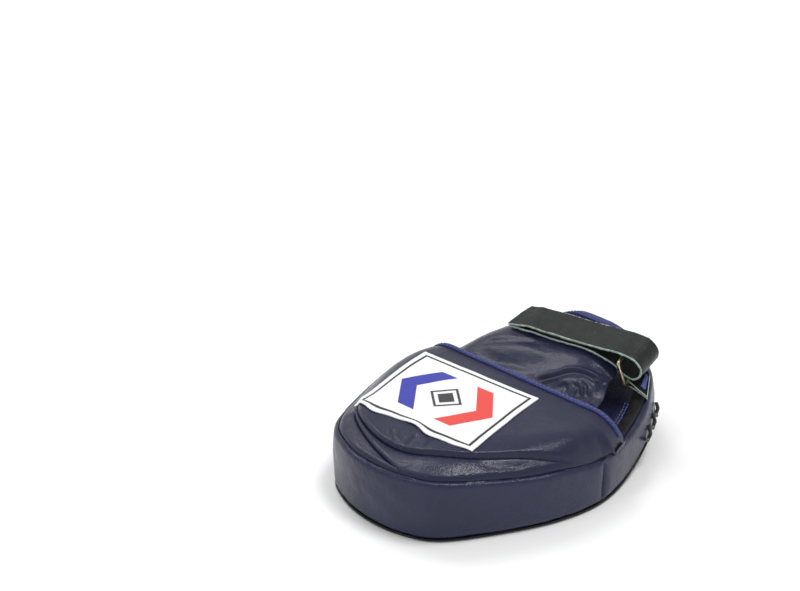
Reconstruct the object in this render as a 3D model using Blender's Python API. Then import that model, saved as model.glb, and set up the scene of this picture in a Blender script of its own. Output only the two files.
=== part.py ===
"""A bent focus mitt for boxing and kick-boxing, lying on its striking face.

Units are metres and +Z is up.  The finger end points to -Y, the wrist end to +Y, and the strap closes
on the +X side.  The origin is on the flat of the striking face, in the middle of the mitt's width.

The mitt is laid out flat in (x, s, h): x across, s along the face from finger end to wrist end, and h
up from the face.  place() then bends that layout, because the wrist half of the face is turned up.
"""
import bmesh
import bpy
from math import atan2, cos, hypot, pi, radians, sin, sqrt

from mathutils import Vector

# ---- Driving dimensions -------------------------------------------------------------------------------
GAP = 0.0003            # between pieces that touch
SOFT_GAP = 0.0014       # between curved layers of the pocket and the hand cover
LEATHER = 0.0018        # face, side wall and back
FINGER_LENGTH = 0.1390  # origin to finger end
WRIST_LENGTH = 0.1380   # origin to wrist end, along the face
BEND = radians(15)      # turn of the wrist half
BEND_START = 0.0066
BEND_END = 0.0494

# Right half of the face's outline, finger end to wrist end.
HALF_OUTLINE = (
    (0.0000, -FINGER_LENGTH),
    (0.0300, -0.1340),
    (0.0550, -0.1190),
    (0.0780, -0.0800),
    (0.0945, -0.0400),
    (0.1000, -0.0020),
    (0.0925, 0.0400),
    (0.0796, 0.0800),
    (0.0600, 0.1110),
    (0.0320, 0.1310),
    (0.0000, WRIST_LENGTH),
)
SIDE_POINTS = 30        # outline points from the finger end to the wrist end

# Height of the side wall at places along the mitt.
WALL_HEIGHTS = ((-0.139, 0.0480), (-0.05, 0.0415), (0.0, 0.0365), (0.08, 0.0305), (0.138, 0.0310))
FACE_WRAP = 0.0024      # how far the black face leather shows at the foot of the wall
PALM_HEIGHTS = ((-0.139, 0.0380), (-0.05, 0.0330), (0.0, 0.0270), (0.08, 0.0230), (0.138, 0.0240))
PALM_RIM = 0.018        # width of the slope between the back panel's rim and its middle

DISC_RADIUS = 0.0365
DISC_CENTRE = 0.022
DISC_THICKNESS = 0.0011

POCKET_MOUTH = 0.0265   # s of the finger pocket's edge at x = 0
POCKET_SKEW = 0.06      # how much the sewn edge runs off square
POCKET_TOP = ((-0.139, 0.0555), (-0.09, 0.0590), (-0.04, 0.0580), (0.0265, 0.0545))
COVER = 0.0020          # pocket and hand cover leather, measured along h
PADDING = 0.0040
LINING = 0.0012

CUFF_START = 0.006
CUFF_END = 0.1240
CUFF_TOP = ((0.0, 0.0478), (0.033, 0.0490), (0.065, 0.0545), (0.09, 0.0540), (0.125, 0.0530))
CUFF_INSET = 0.0045     # of its sewn far edge from the outline
CUFF_FREE_EDGE = ((0.0, 0.0620), (0.055, 0.0580), (0.08, 0.0485), (0.1, 0.0420), (0.125, 0.0400))
CUFF_EDGE_DROP = 0.0100

GRIP_CENTRE = 0.045

BINDING_LEG = 0.0050
BINDING_WALL = 0.0009

LABEL_LENGTH = 0.1095
LABEL_WIDTH = 0.0960
LABEL_CENTRE = (-0.0115, -0.0494)
LABEL_TURN = radians(6)     # of its long edges
LABEL_SKEW = radians(13)    # of its short edges

STRAP_WIDTH = 0.0265
STRAP_THICKNESS = 0.0018
STRAP_TURN = radians(8)
STRAP_CENTRE = 0.0962   # s of the strap's centre line at x = 0
PATCH_THICKNESS = 0.0008
WIRE = 0.0014           # radius of the ring's wire


# ---- Layout and bend ----------------------------------------------------------------------------------
def smooth(t):
    """Ease from 0 to 1."""
    t = min(1.0, max(0.0, t))
    return t * t * (3 - 2 * t)


def along(stations, s):
    """Read a value at s from (place, value) pairs, eased between them."""
    if s <= stations[0][0]:
        return stations[0][1]
    for (s0, v0), (s1, v1) in zip(stations, stations[1:]):
        if s <= s1:
            return v0 + (v1 - v0) * smooth((s - s0) / (s1 - s0))
    return stations[-1][1]


def place(x, s, h):
    """Turn a layout point into a point of the bent mitt."""
    radius = (BEND_END - BEND_START) / BEND
    turn = min(BEND, max(0.0, (s - BEND_START) / radius))
    y = min(s, BEND_START) + radius * sin(turn)
    z = radius * (1 - cos(turn))
    beyond = max(0.0, s - BEND_END)
    y += beyond * cos(BEND)
    z += beyond * sin(BEND)
    return Vector((x, y - h * sin(turn), z + h * cos(turn)))


def strap_place(a, b, h):
    """As place(), for a along the wrist strap and b across it."""
    x = a * cos(STRAP_TURN) - b * sin(STRAP_TURN)
    s = STRAP_CENTRE + a * sin(STRAP_TURN) + b * cos(STRAP_TURN)
    return place(x, s, h)


def catmull(p0, p1, p2, p3, t):
    """A point of a Catmull-Rom curve between p1 and p2."""
    def mix(a, b, c, d):
        return 0.5 * (2 * b + (c - a) * t + (2 * a - 5 * b + 4 * c - d) * t * t
                      + (3 * b - a - 3 * c + d) * t ** 3)
    return tuple(mix(*values) for values in zip(p0, p1, p2, p3))


def curve(points, count, first=None, last=None):
    """count + 1 points, evenly spaced, on a smooth curve through points."""
    ends = [first or points[0]] + list(points) + [last or points[-1]]
    fine = []
    steps = 40
    for k in range(len(points) - 1):
        for j in range(steps):
            fine.append(catmull(*ends[k:k + 4], j / steps))
    fine.append(tuple(points[-1]))
    lengths = [0.0]
    for p, q in zip(fine, fine[1:]):
        lengths.append(lengths[-1] + sqrt(sum((a - b) ** 2 for a, b in zip(p, q))))
    result = []
    k = 0
    for i in range(count + 1):
        wanted = lengths[-1] * i / count
        while k < len(fine) - 2 and lengths[k + 1] < wanted:
            k += 1
        t = (wanted - lengths[k]) / (lengths[k + 1] - lengths[k])
        result.append(tuple(a + (b - a) * t for a, b in zip(fine[k], fine[k + 1])))
    return result


def make_outline():
    """The face's closed outline, from the finger end up the right side and back down the left."""
    second, before_last = HALF_OUTLINE[1], HALF_OUTLINE[-2]
    right = curve(HALF_OUTLINE, SIDE_POINTS, (-second[0], second[1]), (-before_last[0], before_last[1]))
    left = [(-x, s) for x, s in right[1:-1]]
    return right + left[::-1]


OUTLINE = make_outline()


def outline_inward(i):
    """The inward unit normal of outline point i."""
    x0, s0 = OUTLINE[i - 1]
    x1, s1 = OUTLINE[(i + 1) % len(OUTLINE)]
    length = hypot(x1 - x0, s1 - s0)
    return -(s1 - s0) / length, (x1 - x0) / length


def inset_point(i, distance):
    x, s = OUTLINE[i]
    nx, ns = outline_inward(i)
    return x + nx * distance, s + ns * distance


def half_width(s):
    """Half of the outline's width at s."""
    right = OUTLINE[:SIDE_POINTS + 1]
    for (x0, s0), (x1, s1) in zip(right, right[1:]):
        if s0 <= s <= s1:
            return x0 + (x1 - x0) * (s - s0) / (s1 - s0)
    return 0.0


def edge_distance(x, s):
    """How far a layout point is from the outline."""
    best = 1.0
    for i, (x0, s0) in enumerate(OUTLINE):
        x1, s1 = OUTLINE[(i + 1) % len(OUTLINE)]
        dx, ds = x1 - x0, s1 - s0
        t = ((x - x0) * dx + (s - s0) * ds) / (dx * dx + ds * ds)
        t = min(1.0, max(0.0, t))
        best = min(best, hypot(x - x0 - t * dx, s - s0 - t * ds))
    return best


def wall_height(s):
    return along(WALL_HEIGHTS, s)


def palm_height(s):
    """Top of the back panel in its middle."""
    return along(PALM_HEIGHTS, s)


def bulge(distance, reach):
    """Rise of padded leather from its sewn edge, 0 at the edge and 1 beyond reach."""
    t = min(1.0, max(0.0, distance / reach))
    return 1 - (1 - t) ** 2.6


# ---- Blender helpers ----------------------------------------------------------------------------------
def material(name, colour, roughness, metallic=0.0):
    mat = bpy.data.materials.new(name)
    mat.use_nodes = True
    bsdf = mat.node_tree.nodes["Principled BSDF"]
    bsdf.inputs["Base Color"].default_value = (*colour, 1.0)
    bsdf.inputs["Roughness"].default_value = roughness
    bsdf.inputs["Metallic"].default_value = metallic
    return mat


def add_object(name, bm, mat, angle=50):
    """Put a closed bmesh in the scene, facing out, with sharp edges kept sharp."""
    bmesh.ops.recalc_face_normals(bm, faces=bm.faces)
    mesh = bpy.data.meshes.new(name)
    bm.to_mesh(mesh)
    bm.free()
    mesh.materials.append(mat)
    mesh.shade_smooth()
    mesh.set_sharp_from_angle(angle=radians(angle))
    obj = bpy.data.objects.new(name, mesh)
    bpy.context.scene.collection.objects.link(obj)
    return obj


def set_origin(obj, point):
    """Move an object's origin to a world point without moving its shape."""
    for vertex in obj.data.vertices:
        vertex.co -= point
    obj.location = point


def plate(name, profile, mat):
    """A solid of the whole outline.  profile is (inset, height(x, s)) pairs, from face side to hand side."""
    bm = bmesh.new()
    count = len(OUTLINE)
    rings = []
    for inset, height in profile:
        ring = []
        for i in range(count):
            x, s = inset_point(i, inset)
            ring.append(bm.verts.new(place(x, s, height(x, s))))
        rings.append(ring)
    for low, high in zip(rings, rings[1:]):
        for i in range(count):
            j = (i + 1) % count
            bm.faces.new((low[i], low[j], high[j], high[i]))
    for ring in (rings[0], rings[-1]):
        bm.faces.new((ring[0], ring[1], ring[count - 1]))
        for i in range(1, SIDE_POINTS - 1):
            bm.faces.new((ring[i], ring[i + 1], ring[count - i - 1], ring[count - i]))
        bm.faces.new((ring[SIDE_POINTS - 1], ring[SIDE_POINTS], ring[SIDE_POINTS + 1]))
    return add_object(name, bm, mat)


def sweep(name, sections, mat, closed=False, angle=50):
    """A solid through a row of matching sections, each a closed loop of world points."""
    bm = bmesh.new()
    rings = [[bm.verts.new(p) for p in section] for section in sections]
    size = len(rings[0])
    pairs = list(zip(rings, rings[1:]))
    if closed:
        pairs.append((rings[-1], rings[0]))
    for ring_a, ring_b in pairs:
        for k in range(size):
            m = (k + 1) % size
            bm.faces.new((ring_a[k], ring_a[m], ring_b[m], ring_b[k]))
    if not closed:
        bm.faces.new(rings[0][::-1])
        bm.faces.new(rings[-1])
    return add_object(name, bm, mat, angle)


def sheet(name, rows, thickness, mat):
    """A thick sheet.  rows holds the top as rows of layout points (x, s, h)."""
    bm = bmesh.new()
    top = [[bm.verts.new(place(x, s, h)) for x, s, h in row] for row in rows]
    under = [[bm.verts.new(place(x, s, h - thickness)) for x, s, h in row] for row in rows]
    last, end = len(rows) - 1, len(rows[0]) - 1
    for i in range(last):
        for j in range(end):
            bm.faces.new((top[i][j], top[i][j + 1], top[i + 1][j + 1], top[i + 1][j]))
            bm.faces.new((under[i][j], under[i + 1][j], under[i + 1][j + 1], under[i][j + 1]))
    rim = [(0, j) for j in range(end)] + [(i, end) for i in range(last)]
    rim += [(last, j) for j in range(end, 0, -1)] + [(i, 0) for i in range(last, 0, -1)]
    for (i, j), (m, n) in zip(rim, rim[1:] + rim[:1]):
        bm.faces.new((top[i][j], under[i][j], under[m][n], top[m][n]))
    return add_object(name, bm, mat)


def ribbon(name, path, width, thickness, mat, shift=0.0, slant=0.0, splay=0.0):
    """A flat band along a path of (a, h) points in the strap's own layout.

    Beyond the ring's foot it can slant sideways, and splay so that its end is cut at an angle.
    """
    sections = []
    for k, (a, h) in enumerate(path):
        a0, h0 = path[max(k - 1, 0)]
        a1, h1 = path[min(k + 1, len(path) - 1)]
        length = hypot(a1 - a0, h1 - h0)
        na, nh = -(h1 - h0) / length, (a1 - a0) / length
        section = []
        for side, offset in ((-0.5, -0.5), (0.5, -0.5), (0.5, 0.5), (-0.5, 0.5)):
            move = shift + offset * thickness
            beyond = a - RING_FOOT[0]
            b = side * width + slant * beyond
            reach = a + na * move - splay * max(0.0, beyond) * side * width
            section.append(strap_place(reach, b, h + nh * move))
        sections.append(section)
    return sweep(name, sections, mat)


# ---- Pad: face, foam, walls and back --------------------------------------------------------------------
def flat(height):
    return lambda x, s: height


def build_front_cover(mat):
    """Black leather face with a rolled rim and a shallow seat for the target disc."""
    rim = FACE_WRAP
    cover = plate("front_cover", (
        (0.0012, flat(0.0)),
        (0.0003, flat(0.0006)),
        (0.0000, flat(rim - GAP)),
        (0.0020, flat(rim - GAP)),
        (0.0026, flat(LEATHER)),
    ), mat)
    cutter = disc("disc_seat", DISC_RADIUS + GAP, -0.002, DISC_THICKNESS + GAP, mat)
    cutter.hide_render = True
    cutter.display_type = "WIRE"
    cut = cover.modifiers.new("disc seat", "BOOLEAN")
    cut.operation = "DIFFERENCE"
    cut.object = cutter
    return cover


def disc(name, radius, low, high, mat):
    """A round disc that follows the face's bend."""
    bm = bmesh.new()
    count = 24
    rings = []
    for h in (low, high):
        ring = []
        for i in range(2 * count):
            turn = pi * i / count
            ring.append(bm.verts.new(place(radius * sin(turn), DISC_CENTRE - radius * cos(turn), h)))
        rings.append(ring)
    total = 2 * count
    for i in range(total):
        j = (i + 1) % total
        bm.faces.new((rings[0][i], rings[0][j], rings[1][j], rings[1][i]))
    for ring in rings:
        bm.faces.new((ring[0], ring[1], ring[total - 1]))
        for i in range(1, count - 1):
            bm.faces.new((ring[i], ring[i + 1], ring[total - i - 1], ring[total - i]))
        bm.faces.new((ring[count - 1], ring[count], ring[count + 1]))
    return add_object(name, bm, mat)


def build_foam(mats):
    """Three foam layers, soft at the face and firm in the middle, inside the side wall."""
    inset = LEATHER + 2 * GAP
    bottom = LEATHER + GAP
    first, second = 0.0100, 0.0160
    plate("strike_foam", ((inset + 0.0012, flat(bottom)), (inset, flat(bottom + 0.002)),
                          (inset, flat(first))), mats[0])
    plate("core_foam", ((inset, flat(first + GAP)), (inset, flat(second))), mats[1])
    plate("rear_foam", ((inset, flat(second + GAP)),
                        (inset, lambda x, s: palm_height(s) - LEATHER - GAP)), mats[2])


def build_wall(name, first, last, mat):
    """A stretch of the side wall, from outline point first to last."""
    sections = []
    count = len(OUTLINE)
    for i in range(first, last + 1):
        section = []
        for inset, level in ((0.0, 0.0), (0.0, 1.0), (0.0006, 1.0), (LEATHER, 1.0), (LEATHER, 0.0)):
            x, s = inset_point(i % count, inset)
            top = wall_height(s) if inset else wall_height(s) - 0.0008
            section.append(place(x, s, FACE_WRAP + (top - FACE_WRAP) * level))
        sections.append(section)
    if first % count:
        trim_ends(sections)
    return sweep(name, sections, mat)


def trim_ends(sections):
    """Shorten a wall by the gap at both of its end seams."""
    for end, inner in ((0, 1), (-1, -2)):
        trimmed = []
        for p, q in zip(sections[end], sections[inner]):
            trimmed.append(p + (q - p).normalized() * GAP)
        sections[end] = trimmed


def palm_surface(x, s):
    """Top of the back panel: a shallow dish inside its sewn rim."""
    slope = smooth((edge_distance(x, s) - LEATHER - GAP) / PALM_RIM)
    rim = wall_height(s) - 2 * GAP
    return rim + (palm_height(s) - rim) * slope


def build_back_panel(mat):
    """Navy leather back, sewn to the top of the wall and dished for the palm."""
    rim = LEATHER + GAP
    insets = [rim + PALM_RIM * k / 5 for k in range(6)]
    profile = [(d, lambda x, s: palm_surface(x, s) - LEATHER) for d in insets[::-1]]
    profile += [(d, palm_surface) for d in insets]
    plate("back_panel", profile, mat)


def wall_seam_index(target):
    """The right-hand outline point nearest to s = target."""
    right = range(SIDE_POINTS + 1)
    return min(right, key=lambda i: abs(OUTLINE[i][1] - target))


def build_lacing(mat):
    """The waxed cord that closes the side wall of the wrist half."""
    start, stop = 0.064, 0.101
    crossings = 7
    points = []
    for k in range(crossings):
        s = start + (stop - start) * k / (crossings - 1)
        points.append((s, 0.20 if k % 2 else 0.42))
    route = []
    for s, level in curve(points, 60):
        x = half_width(s)
        x1 = half_width(s + 0.001)
        out = atan2(0.001, x1 - x) - pi / 2
        lift = 0.0013 + GAP
        h = FACE_WRAP + (wall_height(s) - FACE_WRAP) * level
        route.append(place(x + lift * cos(out), s + lift * sin(out), h))
    tube("lacing_cord", route, 0.0010, 6, mat)


def tube(name, route, radius, sides, mat, closed=False):
    """A round cord along world points."""
    sections = []
    count = len(route)
    for k, point in enumerate(route):
        before = route[k - 1] if closed or k else route[0]
        after = route[(k + 1) % count] if closed or k < count - 1 else route[-1]
        along_cord = (after - before).normalized()
        side = along_cord.cross(Vector((0, -sin(BEND), cos(BEND)))).normalized()
        up = side.cross(along_cord)
        section = []
        for j in range(sides):
            turn = 2 * pi * j / sides
            section.append(point + (side * cos(turn) + up * sin(turn)) * radius)
        sections.append(section)
    return sweep(name, sections, mat, closed, 80)


# ---- Finger pocket ------------------------------------------------------------------------------------
def pocket_top(x, s):
    """Outer surface of the finger pocket."""
    foot = wall_height(s) + GAP + COVER
    reach = 0.046 - 0.020 * smooth((s + 0.09) / 0.09)
    return foot + (along(POCKET_TOP, s) - foot) * bulge(edge_distance(x, s), reach)


def pocket_rows(edge, start, stop, drop, across=22, lengthwise=16):
    """Rows of the pocket's top, edge in from the outline and drop below the outer surface."""
    rows = []
    last_but_one = stop - BINDING_LEG
    for i in range(lengthwise + 1):
        s_row = stop
        if i < lengthwise:
            s_row = start + (last_but_one - start) * (1 - cos(pi / 2 * i / (lengthwise - 1)))
        width = max(0.004, half_width(s_row) - edge)
        row = []
        for j in range(across + 1):
            x = -cos(pi * j / across) * width
            s = s_row
            if i >= lengthwise - 1:
                s += POCKET_SKEW * x
            row.append((x, s, pocket_top(x, s) - drop))
        rows.append(row)
    return rows


def build_pocket(cover_mat, foam_mat, lining_mat, tape_mat):
    start = -FINGER_LENGTH + 0.0004
    cover = pocket_rows(0.0, start, POCKET_MOUTH, 0.0)
    sheet("pocket_cover", cover, COVER, cover_mat)
    binding("pocket_binding", cover[-2][2:-2], cover[-1][2:-2], tape_mat)
    drop = COVER + SOFT_GAP
    stop = CUFF_START - 0.004
    rows = pocket_rows(0.018, start + 0.022, stop, drop, 14, 10)
    sheet("pocket_padding", rows, PADDING, foam_mat)
    drop += PADDING + GAP
    rows = pocket_rows(0.018, start + 0.022, stop, drop, 14, 10)
    sheet("pocket_lining", rows, LINING, lining_mat)


def binding(name, inner_row, edge_row, mat):
    """Tape folded over a cover's free edge.  Both rows are layout points of the cover's outer surface."""
    sections = []
    clear = 3 * GAP
    skin = BINDING_WALL + clear
    for (x0, s0, h0), (x1, s1, h1) in zip(inner_row, edge_row):
        fold, outer = s1 + 2 * GAP, s1 + 2 * GAP + BINDING_WALL
        sections.append((
            place(x0, s0, h0 + skin),
            place(x1, fold, h1 + skin),
            place(x1, outer, h1 + clear / 2),
            place(x1, outer, h1 - COVER - clear / 2),
            place(x1, fold, h1 - COVER - skin),
            place(x0, s0, h0 - COVER - skin),
            place(x0, s0, h0 - COVER - clear),
            place(x1, fold, h1 - COVER - clear),
            place(x1, fold, h1 + clear),
            place(x0, s0, h0 + clear),
        ))
    return sweep(name, sections, mat)


def build_label(mat):
    """The woven patch, lying on the pocket."""
    rows = []
    for i in range(9):
        row = []
        for j in range(13):
            a = LABEL_LENGTH * (j / 12 - 0.5)
            b = LABEL_WIDTH * (i / 8 - 0.5)
            x = LABEL_CENTRE[0] + a * cos(LABEL_TURN) - b * sin(LABEL_SKEW)
            s = LABEL_CENTRE[1] + a * sin(LABEL_TURN) + b * cos(LABEL_SKEW)
            row.append((x, s, pocket_top(x, s) + 3 * GAP + 0.0006))
        rows.append(row)
    sheet("label_patch", rows, 0.0006, mat)


# ---- Hand cover ---------------------------------------------------------------------------------------
def cuff_top(x, s):
    """Outer surface of the hand cover, sewn down at the far side and free at the near side."""
    foot = wall_height(s) + GAP + COVER
    top = along(CUFF_TOP, s)
    if x < 0:
        reach = 0.036
        return foot + (top - foot) * bulge(half_width(s) + x - CUFF_INSET, reach)
    free = along(CUFF_FREE_EDGE, s)
    start = free - 0.030
    return top - CUFF_EDGE_DROP * max(0.0, (x - start) / 0.030) ** 2


def cuff_rows(edge_far, edge_near, start, stop, drop, across=22, lengthwise=15):
    """Rows of the hand cover's top, moved in from its far and near edges and down by drop."""
    rows = []
    last_but_one = stop - BINDING_LEG
    for i in range(lengthwise + 1):
        s = stop
        if i < lengthwise:
            s = start + (last_but_one - start) * i / (lengthwise - 1)
        far = -half_width(s) + CUFF_INSET + edge_far
        near = along(CUFF_FREE_EDGE, s) - edge_near
        row = []
        for j in range(across + 1):
            x = far + (near - far) * (1 - cos(pi * j / across)) / 2
            row.append((x, s, cuff_top(x, s) - drop))
        rows.append(row)
    return rows


def build_hand_cover(cover_mat, foam_mat, lining_mat, tape_mat):
    cover = cuff_rows(0.0, 0.0, CUFF_START, CUFF_END, 0.0)
    sheet("hand_cover", cover, COVER, cover_mat)
    binding("hand_cover_binding", cover[-2][4:], cover[-1][4:], tape_mat)
    start, stop = POCKET_MOUTH + 0.006, CUFF_END - BINDING_LEG - 0.002
    drop = COVER + SOFT_GAP
    rows = cuff_rows(0.020, 0.014, start, stop, drop, 18, 12)
    sheet("hand_cover_padding", rows, PADDING, foam_mat)
    drop += PADDING + GAP
    rows = cuff_rows(0.020, 0.014, start, stop, drop, 18, 12)
    sheet("hand_cover_lining", rows, LINING, lining_mat)


# ---- Hand opening -------------------------------------------------------------------------------------
def edge_strip(name, s_from, s_to, outer, inner, lift, thickness, mat):
    """A strip beside the near edge of the back panel, outer and inner in from the outline."""
    rows = []
    lengthwise = 16
    for i in range(lengthwise + 1):
        s = s_from + (s_to - s_from) * i / lengthwise
        row = []
        for j in range(5):
            x = half_width(s) - outer - (inner - outer) * j / 4
            row.append((x, s, palm_surface(x, s) + lift + thickness))
        rows.append(row)
    return sheet(name, rows, thickness, mat)


def build_palm(facing_mat, tape_mat, grip_mat):
    edge_strip("palm_facing", 0.034, 0.098, 0.0040, 0.0165, 2 * GAP, 0.0010, facing_mat)
    edge_strip("palm_tape", 0.034, 0.080, 0.0170, 0.0210, 2 * GAP, 0.0008, tape_mat)
    build_grip(grip_mat)


def build_grip(mat):
    """Padded roll across the palm, which the fingers close on."""
    sections = []
    length, half_depth, height = 0.090, 0.0090, 0.0085
    count, sides = 16, 12
    for i in range(count + 1):
        t = 2 * i / count - 1
        x = 0.5 * length * t
        scale = sqrt(max(0.06, 1 - abs(t) ** 5))
        section = []
        for j in range(sides + 1):
            turn = pi * j / sides
            s = GRIP_CENTRE - half_depth * scale * cos(turn)
            section.append(place(x, s, palm_height(s) + 2 * GAP + height * scale * sin(turn)))
        sections.append(section)
    return sweep("palm_grip", sections, mat)


# ---- Wrist strap, ring and keeper -----------------------------------------------------------------------
RING_FOOT = (0.0525, 0.0335)    # (a, h) of the ring's bar in the keeper, which is its pivot
RING_HEAD = (0.0485, 0.0555)    # (a, h) of the bar inside the strap's loop
RING_WIDTH = 0.0340
PEEL_AXIS = (0.0540, 0.0614)    # (a, h) of the line where the strap's tail peels away
RUN_ENDS = (-0.0560, 0.0300)    # a at both ends of the stretch that lies on the hand cover
PATCH_ENDS = (-0.0320, 0.0140)
KEEPER_REACH = 0.0160           # from the ring's foot to the mitt's edge
KEEPER_WIDTH = 0.0240
KEEPER_SLANT = -0.58            # the tab runs to the edge at this slope, not along the strap
KEEPER_SPLAY = 30.0             # and its end is cut along the edge

# The strap's loop through the ring, and its tail's raised start, as (a, h).
LOOP_ROUTE = (
    (0.0440, 0.0480), (0.0500, 0.0418), (0.0570, 0.0396), (0.0635, 0.0440), (0.0655, 0.0515),
    (0.0620, 0.0580), (0.0560, 0.0610),
)
TAIL_START = ((0.0540, 0.0614), (0.0420, 0.0618), (0.0280, 0.0612))


def run_height(a):
    """Middle of the strap's lower layer where it lies on the hand cover."""
    highest = 0.0
    for b in (-0.5 * STRAP_WIDTH, 0.0, 0.5 * STRAP_WIDTH):
        x = a * cos(STRAP_TURN) - b * sin(STRAP_TURN)
        s = STRAP_CENTRE + a * sin(STRAP_TURN) + b * cos(STRAP_TURN)
        highest = max(highest, cuff_top(x, s))
    return highest + STRAP_THICKNESS / 2 + 3 * GAP


def build_strap(strap_mat, loop_mat, hook_mat):
    """One leather band, split where its tail peels away, with its two hook-and-loop patches."""
    low, high = RUN_ENDS
    on_cover = [low + (high - low) * k / 12 for k in range(13)]
    run = curve([(a, run_height(a)) for a in on_cover] + list(LOOP_ROUTE), 44)
    ribbon("strap_run", run, STRAP_WIDTH, STRAP_THICKNESS, strap_mat)
    above = STRAP_THICKNESS + 2 * PATCH_THICKNESS + 5 * GAP
    on_run = [0.014 - 0.0105 * k for k in range(8)]
    tail = curve(list(TAIL_START) + [(a, run_height(a) + above) for a in on_run], 18)
    tail_obj = ribbon("strap_tail", tail, STRAP_WIDTH, STRAP_THICKNESS, strap_mat)
    lift = STRAP_THICKNESS / 2 + GAP + PATCH_THICKNESS / 2
    first, last = PATCH_ENDS
    top_of_run = [p for p in run if first < p[0] < last]
    ribbon("loop_patch", top_of_run, STRAP_WIDTH - 0.004, PATCH_THICKNESS, loop_mat, lift)
    under_tail = [p for p in tail if first < p[0] < last]
    hook = ribbon("hook_patch", under_tail, STRAP_WIDTH - 0.004, PATCH_THICKNESS, hook_mat, lift)
    for obj in (tail_obj, hook):
        set_origin(obj, strap_place(PEEL_AXIS[0], 0.0, PEEL_AXIS[1]))


def build_ring(mat):
    """A rectangular wire ring with rounded corners."""
    (a0, h0), (a1, h1) = RING_FOOT, RING_HEAD
    height = hypot(a1 - a0, h1 - h0)
    ua, uh = (a1 - a0) / height, (h1 - h0) / height
    corner = 0.0035
    half = RING_WIDTH / 2
    route = []
    for cb, cq, first in ((half, 0.0, -90), (half, height, 0), (-half, height, 90), (-half, 0.0, 180)):
        for k in range(5):
            turn = radians(first + 90 * k / 4)
            b = cb - corner * (1 if cb > 0 else -1) + corner * cos(turn)
            q = cq + corner * (1 if cq == 0.0 else -1) + corner * sin(turn)
            route.append((b, q))
    sections = []
    count = len(route)
    for k, (b, q) in enumerate(route):
        b0, q0 = route[k - 1]
        b1, q1 = route[(k + 1) % count]
        length = hypot(b1 - b0, q1 - q0)
        nb, nq = (q1 - q0) / length, -(b1 - b0) / length
        section = []
        for j in range(8):
            turn = 2 * pi * j / 8
            out, up = WIRE * cos(turn), WIRE * sin(turn)
            bb, qq = b + nb * out, q + nq * out
            section.append(strap_place(a0 + ua * qq + uh * up, bb, h0 + uh * qq - ua * up))
        sections.append(section)
    ring = sweep("ring", sections, mat, closed=True, angle=80)
    set_origin(ring, strap_place(a0, 0.0, h0))


def build_keeper(leather_mat, thread_mat):
    """Folded leather tab that holds the ring's lower bar, and the bar tack that sews it down."""
    a0, h0 = RING_FOOT
    around = WIRE + 0.0004 + 0.0006
    path = [(a0 + KEEPER_REACH, h0 - 0.0004), (a0 + 0.0090, h0 - 0.0010)]
    for k in range(9):
        turn = radians(-80 - 205 * k / 8)
        path.append((a0 + around * cos(turn), h0 + around * sin(turn)))
    path += [(a0 + 0.0055, h0 + 0.0014), (a0 + 0.0095, h0 + 0.0010), (a0 + KEEPER_REACH, h0 + 0.0012)]
    ribbon("ring_keeper", path, KEEPER_WIDTH, 0.0011, leather_mat, slant=KEEPER_SLANT, splay=KEEPER_SPLAY)
    tack = [(a0 + 0.0100, h0 + 0.0023), (a0 + 0.0130, h0 + 0.0024)]
    ribbon("keeper_bartack", tack, 0.0150, 0.0007, thread_mat, slant=KEEPER_SLANT, splay=KEEPER_SPLAY)


# ---- Assembly -----------------------------------------------------------------------------------------
def main():
    for obj in list(bpy.data.objects):
        bpy.data.objects.remove(obj, do_unlink=True)
    black = material("black leather", (0.010, 0.010, 0.012), 0.35)
    navy = material("navy leather", (0.045, 0.047, 0.085), 0.35)
    blue = material("blue binding", (0.035, 0.050, 0.230), 0.50)
    white = material("woven label", (0.860, 0.860, 0.870), 0.85)
    lining = material("black lining", (0.030, 0.030, 0.032), 0.80)
    strap = material("strap leather", (0.070, 0.070, 0.070), 0.55)
    brass = material("brass plated wire", (0.560, 0.450, 0.230), 0.30, 1.0)
    soft = material("soft foam", (0.780, 0.760, 0.700), 0.90)
    firm = material("firm foam", (0.120, 0.120, 0.130), 0.85)
    hook = material("hook tape", (0.020, 0.020, 0.022), 0.90)
    cord = material("waxed cord", (0.012, 0.012, 0.013), 0.55)

    build_front_cover(black)
    disc("target_disc", DISC_RADIUS, 0.0, DISC_THICKNESS, navy)
    build_foam((soft, firm, firm))
    seam = wall_seam_index(0.0)
    count = len(OUTLINE)
    build_wall("finger_wall", count - seam, count + seam, navy)
    build_wall("wrist_wall", seam, count - seam, navy)
    build_lacing(cord)
    build_back_panel(navy)
    build_palm(black, navy, black)
    build_pocket(navy, soft, lining, blue)
    build_label(white)
    build_hand_cover(navy, soft, lining, blue)
    build_strap(strap, hook, hook)
    build_ring(brass)
    build_keeper(black, blue)


if __name__ == "__main__":
    main()
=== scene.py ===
"""Looks of a bent focus mitt, lying on its striking face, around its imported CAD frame.

Units are metres.  Layout coordinates are (x, s, h): x across, s along the face from the finger end to
the wrist end, and h up from the face.  place() bends that layout, as the CAD source does.
"""
import math

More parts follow.
